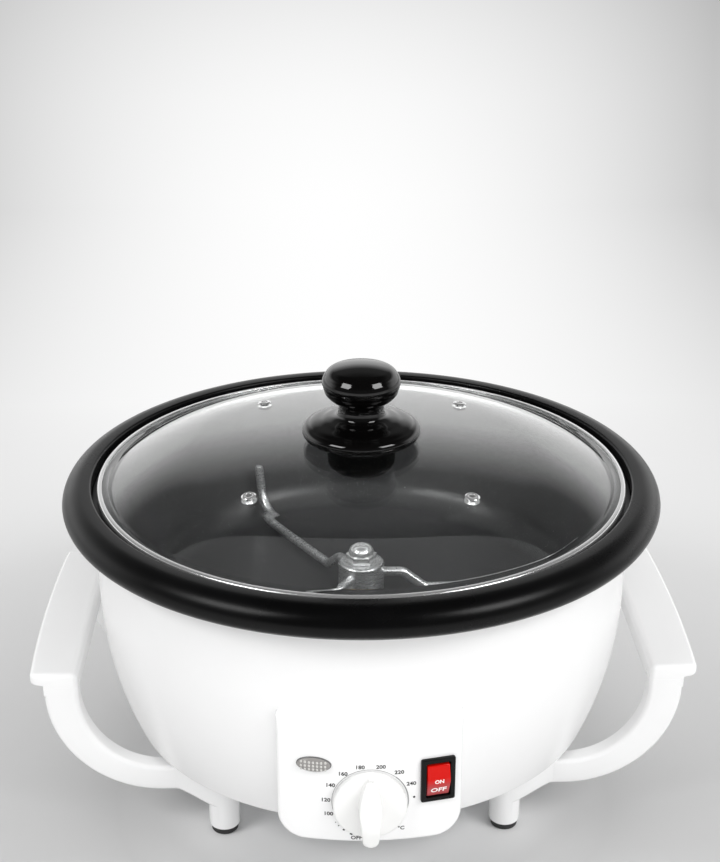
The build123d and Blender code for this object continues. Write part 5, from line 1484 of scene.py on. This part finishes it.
def make_floor(stage):
    """Pale floor that takes the shadow, with painted shade and light in its colour near the
    machine; far behind the machine it is a glowing backdrop that dims towards the sides and far
    away, a painted falloff.
    """
    bm = bmesh.new()
    bmesh.ops.create_grid(bm, x_segments=60, y_segments=60, size=7.0)
    mesh = bpy.data.meshes.new("floor")
    bm.to_mesh(mesh)
    bm.free()
    material, tree, shader = new_material("pale_floor", Roughness=0.7, Specular_IOR_Level=0.1)
    place = add_node(tree, "SeparateXYZ", Vector=object_space(tree)).outputs
    x, y = place["X"], place["Y"]
    # painted shade: the floor's colour greys towards the machine and is darkest in a band at its
    # front edge
    near = level_ramp(tree, y, FLOOR_PAINTED_SHADE)
    # painted light: the floor's colour is paler round the machine, which lifts its shadow
    painted_light_round_machine = level_ramp(tree, radius_node(tree, x, y), PAINTED_LIGHT_ROUND_MACHINE)
    near = math_node(tree, "MAXIMUM", near, painted_light_round_machine)
    feed(tree, shader, Base_Color=vector_product(tree, near, tuple(stage.floor_colour)))

    # painted falloff: the backdrop's glow dims further away and towards the sides
    far = level_ramp(tree, y, BACKDROP_PAINTED_FALLOFF)
    depth = math_node(tree, "ADD", math_node(tree, "MAXIMUM", y, 0.0), 0.73)
    ratio = math_node(tree, "DIVIDE", x, depth)
    falloff = range_node(tree, y, 0.3, 1.1, stage.backdrop_side_shade * 0.3, stage.backdrop_side_shade)
    sides = math_node(tree, "MULTIPLY", math_node(tree, "MULTIPLY", ratio, ratio), falloff)
    level = math_node(tree, "SUBTRACT", 1.0, math_node(tree, "MINIMUM", sides, 0.4))
    glow = add_node(tree, "Emission", Color=far, Strength=level)
    camera_ray = add_node(tree, "LightPath").outputs["Is Camera Ray"]
    behind = range_node(tree, y, 0.16, 0.5, 0.0, 1.0)
    mixed_surface(tree, math_node(tree, "MULTIPLY", camera_ray, behind), shader, glow)
    mesh.materials.append(material)
    floor = bpy.data.objects.new("floor", mesh)
    bpy.context.scene.collection.objects.link(floor)


def make_world(stage):
    """Dim studio surround, with a pale backdrop low behind and a fainter glow in front."""
    world = bpy.data.worlds.new("studio")
    bpy.context.scene.world = world
    world.use_nodes = True
    tree = world.node_tree
    generated = add_node(tree, "TexCoord").outputs["Generated"]
    way = add_node(tree, "SeparateXYZ", Vector=generated).outputs
    rise = way["Z"]
    low_band = range_node(tree, rise, 0.3, 0.5, stage.backdrop, stage.backdrop * 0.12)
    behind = range_node(tree, rise, 0.62, 0.78, low_band, stage.surround)
    front = range_node(tree, rise, 0.25, 0.6, stage.front_glow, stage.surround)
    share = range_node(tree, way["Y"], -0.15, 0.25, front, behind)
    camera_ray = add_node(tree, "LightPath").outputs["Is Camera Ray"]
    strength = range_node(tree, camera_ray, 0.0, 1.0, share, 0.9)
    feed(tree, tree.nodes["Background"], Strength=strength, Color=(1.0, 1.0, 1.0, 1.0))


def add_softbox(name, place, target, width, height, power):
    """Small rectangular lamp aimed at a point; it shows in glossy surfaces."""
    light = bpy.data.lights.new(name, "AREA")
    light.shape = "RECTANGLE"
    light.size, light.size_y = width, height
    light.energy = power
    lamp = bpy.data.objects.new(name, light)
    lamp.location = place
    lamp.rotation_euler = (Vector(target) - Vector(place)).to_track_quat("-Z", "Y").to_euler()
    bpy.context.scene.collection.objects.link(lamp)


def add_sky_lamp(name, place, strength, spread):
    """Broad even light from one side, too soft to show in glossy surfaces."""
    light = bpy.data.lights.new(name, "SUN")
    light.energy = strength
    light.angle = spread
    lamp = bpy.data.objects.new(name, light)
    lamp.rotation_euler = (-Vector(place)).to_track_quat("-Z", "Y").to_euler()
    lamp.visible_glossy = False
    bpy.context.scene.collection.objects.link(lamp)


def make_camera():
    """Camera at the front, looking down at the lid."""
    data = bpy.data.cameras.new("camera")
    data.lens, data.sensor_width = 66.15, 36.0
    camera = bpy.data.objects.new("camera", data)
    camera.location = (-0.0198, AXIS_Y - 0.68725, 0.46635)
    camera.rotation_euler = (radians(90 - 22.67), 0.0, -radians(1.6))
    bpy.context.scene.collection.objects.link(camera)
    bpy.context.scene.camera = camera


# ------------------------------------------------------------------ settings a user would change
class RoasterSizes(PropertyGroup):
    number_height: FloatProperty(
        name="Number height",
        description="Height of the numbers round the dial",
        default=0.00245, unit="LENGTH", min=0.0,
    )
    ink_thickness: FloatProperty(
        name="Ink thickness",
        description="Thickness of the print on the panel",
        default=0.00006, unit="LENGTH", min=0.0,
    )
    bead_spacing: FloatProperty(
        name="Bead spacing",
        description="Distance between the lamp's columns of beads",
        default=0.00172, unit="LENGTH", min=0.0,
    )


class RoasterColours(PropertyGroup):
    shell: FloatVectorProperty(
        name="Shell",
        description="Enamel of the bowl, handles, legs and panel",
        default=(0.92, 0.92, 0.92), subtype="COLOR", min=0.0, max=1.0,
    )
    rim: FloatVectorProperty(
        name="Rim",
        description="Moulded ring round the pan",
        default=(0.0016, 0.0016, 0.0017), subtype="COLOR", min=0.0, max=1.0,
    )
    rocker: FloatVectorProperty(
        name="Rocker",
        description="Raised end of the switch's rocker",
        default=(0.58, 0.006, 0.003), subtype="COLOR", min=0.0, max=1.0,
    )


class RoasterStage(PropertyGroup):
    floor_colour: FloatVectorProperty(
        name="Floor",
        description="Colour of the floor where it is palest",
        default=(0.97, 0.97, 0.97), subtype="COLOR", min=0.0, max=1.0,
    )
    # painted shade: how fast the backdrop's glow darkens towards the sides
    backdrop_side_shade: FloatProperty(
        name="Floor falloff",
        description="How fast the backdrop darkens towards the sides",
        default=7.0, min=0.0,
    )
    backdrop: FloatProperty(
        name="Backdrop",
        description="Strength of the low backdrop behind",
        default=1.35, min=0.0,
    )
    front_glow: FloatProperty(
        name="Front glow",
        description="Strength of the surround low in front",
        default=0.1, min=0.0,
    )
    surround: FloatProperty(
        name="Surround",
        description="Strength of the surround higher up",
        default=0.03, min=0.0,
    )
    overhead: FloatProperty(
        name="Overhead light",
        description="Strength of the light from above",
        default=1.22, min=0.0,
    )
    fill: FloatProperty(
        name="Front fill",
        description="Strength of the light from the front",
        default=1.46, min=0.0,
    )
    softbox: FloatProperty(
        name="Softboxes",
        description="Power of each of the two lamps in front",
        default=13.0, unit="POWER", min=0.0,
    )


# ------------------------------------------------------------------ operators
class ROASTER_OT_finishes(Operator):
    """Make every finish and give the inner parts theirs"""

    bl_idname = "roaster.finishes"
    bl_label = "Finishes"
    bl_options = {"REGISTER", "UNDO"}

    def execute(self, context):
        scene = context.scene
        make_materials(scene.roaster_colours)
        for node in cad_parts.values():
            for slot in node.material_slots:
                slot.material = finish(RECORD_SLOTS[node.name])
        return {"FINISHED"}


class ROASTER_OT_bowl(Operator):
    """Make the white bowl"""

    bl_idname = "roaster.bowl"
    bl_label = "Bowl"
    bl_options = {"REGISTER", "UNDO"}

    def execute(self, context):
        make_housing()
        return {"FINISHED"}


class ROASTER_OT_rim(Operator):
    """Make the black rim ring"""

    bl_idname = "roaster.rim"
    bl_label = "Rim ring"
    bl_options = {"REGISTER", "UNDO"}

    def execute(self, context):
        make_rim()
        return {"FINISHED"}


class ROASTER_OT_pan(Operator):
    """Make the coated pan"""

    bl_idname = "roaster.pan"
    bl_label = "Pan"
    bl_options = {"REGISTER", "UNDO"}

    def execute(self, context):
        make_pan()
        return {"FINISHED"}


class ROASTER_OT_stirrer(Operator):
    """Make the hub, arms and nut that sweep the pan"""

    bl_idname = "roaster.stirrer"
    bl_label = "Stirrer"
    bl_options = {"REGISTER", "UNDO"}

    def execute(self, context):
        make_stirrer()
        return {"FINISHED"}


class ROASTER_OT_lid(Operator):
    """Make the domed glass, its band and its vent rings"""

    bl_idname = "roaster.lid"
    bl_label = "Lid"
    bl_options = {"REGISTER", "UNDO"}

    def execute(self, context):
        make_glass()
        make_band()
        make_eyelets()
        return {"FINISHED"}


class ROASTER_OT_knob(Operator):
    """Make the lid's knob with its washer, boss and screw"""

    bl_idname = "roaster.knob"
    bl_label = "Lid knob"
    bl_options = {"REGISTER", "UNDO"}

    def execute(self, context):
        make_knob()
        return {"FINISHED"}


class ROASTER_OT_handles(Operator):
    """Make the two side handles"""

    bl_idname = "roaster.handles"
    bl_label = "Handles"
    bl_options = {"REGISTER", "UNDO"}

    def execute(self, context):
        make_handle(-1, "left_handle", "handle_left")
        make_handle(1, "right_handle", "handle_right")
        return {"FINISHED"}


class ROASTER_OT_legs(Operator):
    """Make the four legs and their rubber feet"""

    bl_idname = "roaster.legs"
    bl_label = "Legs"
    bl_options = {"REGISTER", "UNDO"}

    def execute(self, context):
        for end, y in (("front", -LEG_Y), ("rear", LEG_Y)):
            make_leg(-LEG_X, y, f"left_{end}_leg", f"leg_{end}_left")
            make_leg(LEG_X, y, f"right_{end}_leg", f"leg_{end}_right")
        make_feet()
        return {"FINISHED"}


class ROASTER_OT_screws(Operator):
    """Make the screws that show from below"""

    bl_idname = "roaster.screws"
    bl_label = "Screws"
    bl_options = {"REGISTER", "UNDO"}

    def execute(self, context):
        make_screws()
        return {"FINISHED"}


class ROASTER_OT_panel(Operator):
    """Make the panel's box and the dial's printed scale"""

    bl_idname = "roaster.panel"
    bl_label = "Control panel"
    bl_options = {"REGISTER", "UNDO"}

    def execute(self, context):
        scene = context.scene
        make_panel()
        sizes = scene.roaster_sizes
        make_scale(sizes.number_height / MM, sizes.ink_thickness / MM)
        return {"FINISHED"}


class ROASTER_OT_dial(Operator):
    """Make the temperature dial"""

    bl_idname = "roaster.dial"
    bl_label = "Dial"
    bl_options = {"REGISTER", "UNDO"}

    def execute(self, context):
        make_dial()
        return {"FINISHED"}


class ROASTER_OT_switch(Operator):
    """Make the rocker switch and its words"""

    bl_idname = "roaster.switch"
    bl_label = "Switch"
    bl_options = {"REGISTER", "UNDO"}

    def execute(self, context):
        make_switch()
        return {"FINISHED"}


class ROASTER_OT_lamp(Operator):
    """Make the oval lamp"""

    bl_idname = "roaster.lamp"
    bl_label = "Lamp"
    bl_options = {"REGISTER", "UNDO"}

    def execute(self, context):
        scene = context.scene
        make_lamp(scene.roaster_sizes.bead_spacing / MM)
        return {"FINISHED"}


class ROASTER_OT_bushing(Operator):
    """Make the cord's bushing in the rear wall"""

    bl_idname = "roaster.bushing"
    bl_label = "Cord bushing"
    bl_options = {"REGISTER", "UNDO"}

    def execute(self, context):
        make_gland()
        return {"FINISHED"}


class ROASTER_OT_stage(Operator):
    """Set the floor, the light and the camera"""

    bl_idname = "roaster.stage"
    bl_label = "Stage"
    bl_options = {"REGISTER", "UNDO"}

    def execute(self, context):
        scene = context.scene
        stage = scene.roaster_stage
        scene.view_settings.view_transform = "Standard"
        make_floor(stage)
        make_world(stage)
        add_sky_lamp("overhead", (0.0, -0.15, 1.0), stage.overhead, radians(100.0))
        add_sky_lamp("front_fill", (0.3, -1.0, 0.3), stage.fill, radians(70.0))
        for side, name in ((-1, "left_softbox"), (1, "right_softbox")):
            add_softbox(name, (side * 1.2, -0.85, 1.3), (0.0, 0.0, 0.15), 0.8, 0.62, stage.softbox)
        make_camera()
        return {"FINISHED"}


STEPS = [
    ROASTER_OT_stage, ROASTER_OT_finishes, ROASTER_OT_bowl, ROASTER_OT_rim, ROASTER_OT_pan,
    ROASTER_OT_stirrer, ROASTER_OT_lid, ROASTER_OT_knob, ROASTER_OT_handles, ROASTER_OT_legs,
    ROASTER_OT_screws, ROASTER_OT_panel, ROASTER_OT_dial, ROASTER_OT_switch, ROASTER_OT_lamp,
    ROASTER_OT_bushing,
]
GROUPS = {
    "roaster_sizes": RoasterSizes, "roaster_colours": RoasterColours, "roaster_stage": RoasterStage
}


class ROASTER_PT_sidebar(Panel):
    """Lists the roaster's settings and its pieces"""

    bl_label = "Coffee bean roaster"
    bl_space_type = "VIEW_3D"
    bl_region_type = "UI"
    bl_category = "Roaster"

    def draw(self, context):
        layout = self.layout
        for key in GROUPS:
            group = getattr(context.scene, key)
            column = layout.column(align=True)
            for name in group.__annotations__:
                column.prop(group, name)
        column = layout.column(align=True)
        for step in STEPS:
            column.operator(step.bl_idname)


def register():
    for group in GROUPS.values():
        bpy.utils.register_class(group)
    for step in STEPS:
        bpy.utils.register_class(step)
    bpy.utils.register_class(ROASTER_PT_sidebar)
    for name, group in GROUPS.items():
        setattr(bpy.types.Scene, name, PointerProperty(type=group))


def unregister():
    for name in GROUPS:
        delattr(bpy.types.Scene, name)
    bpy.utils.unregister_class(ROASTER_PT_sidebar)
    for step in reversed(STEPS):
        bpy.utils.unregister_class(step)
    for group in reversed(list(GROUPS.values())):
        bpy.utils.unregister_class(group)


def main():
    """Makes every piece in order."""
    register()
    for step in STEPS:
        family, name = step.bl_idname.split(".")
        getattr(getattr(bpy.ops, family), name)()


if __name__ == "__main__":
    main()
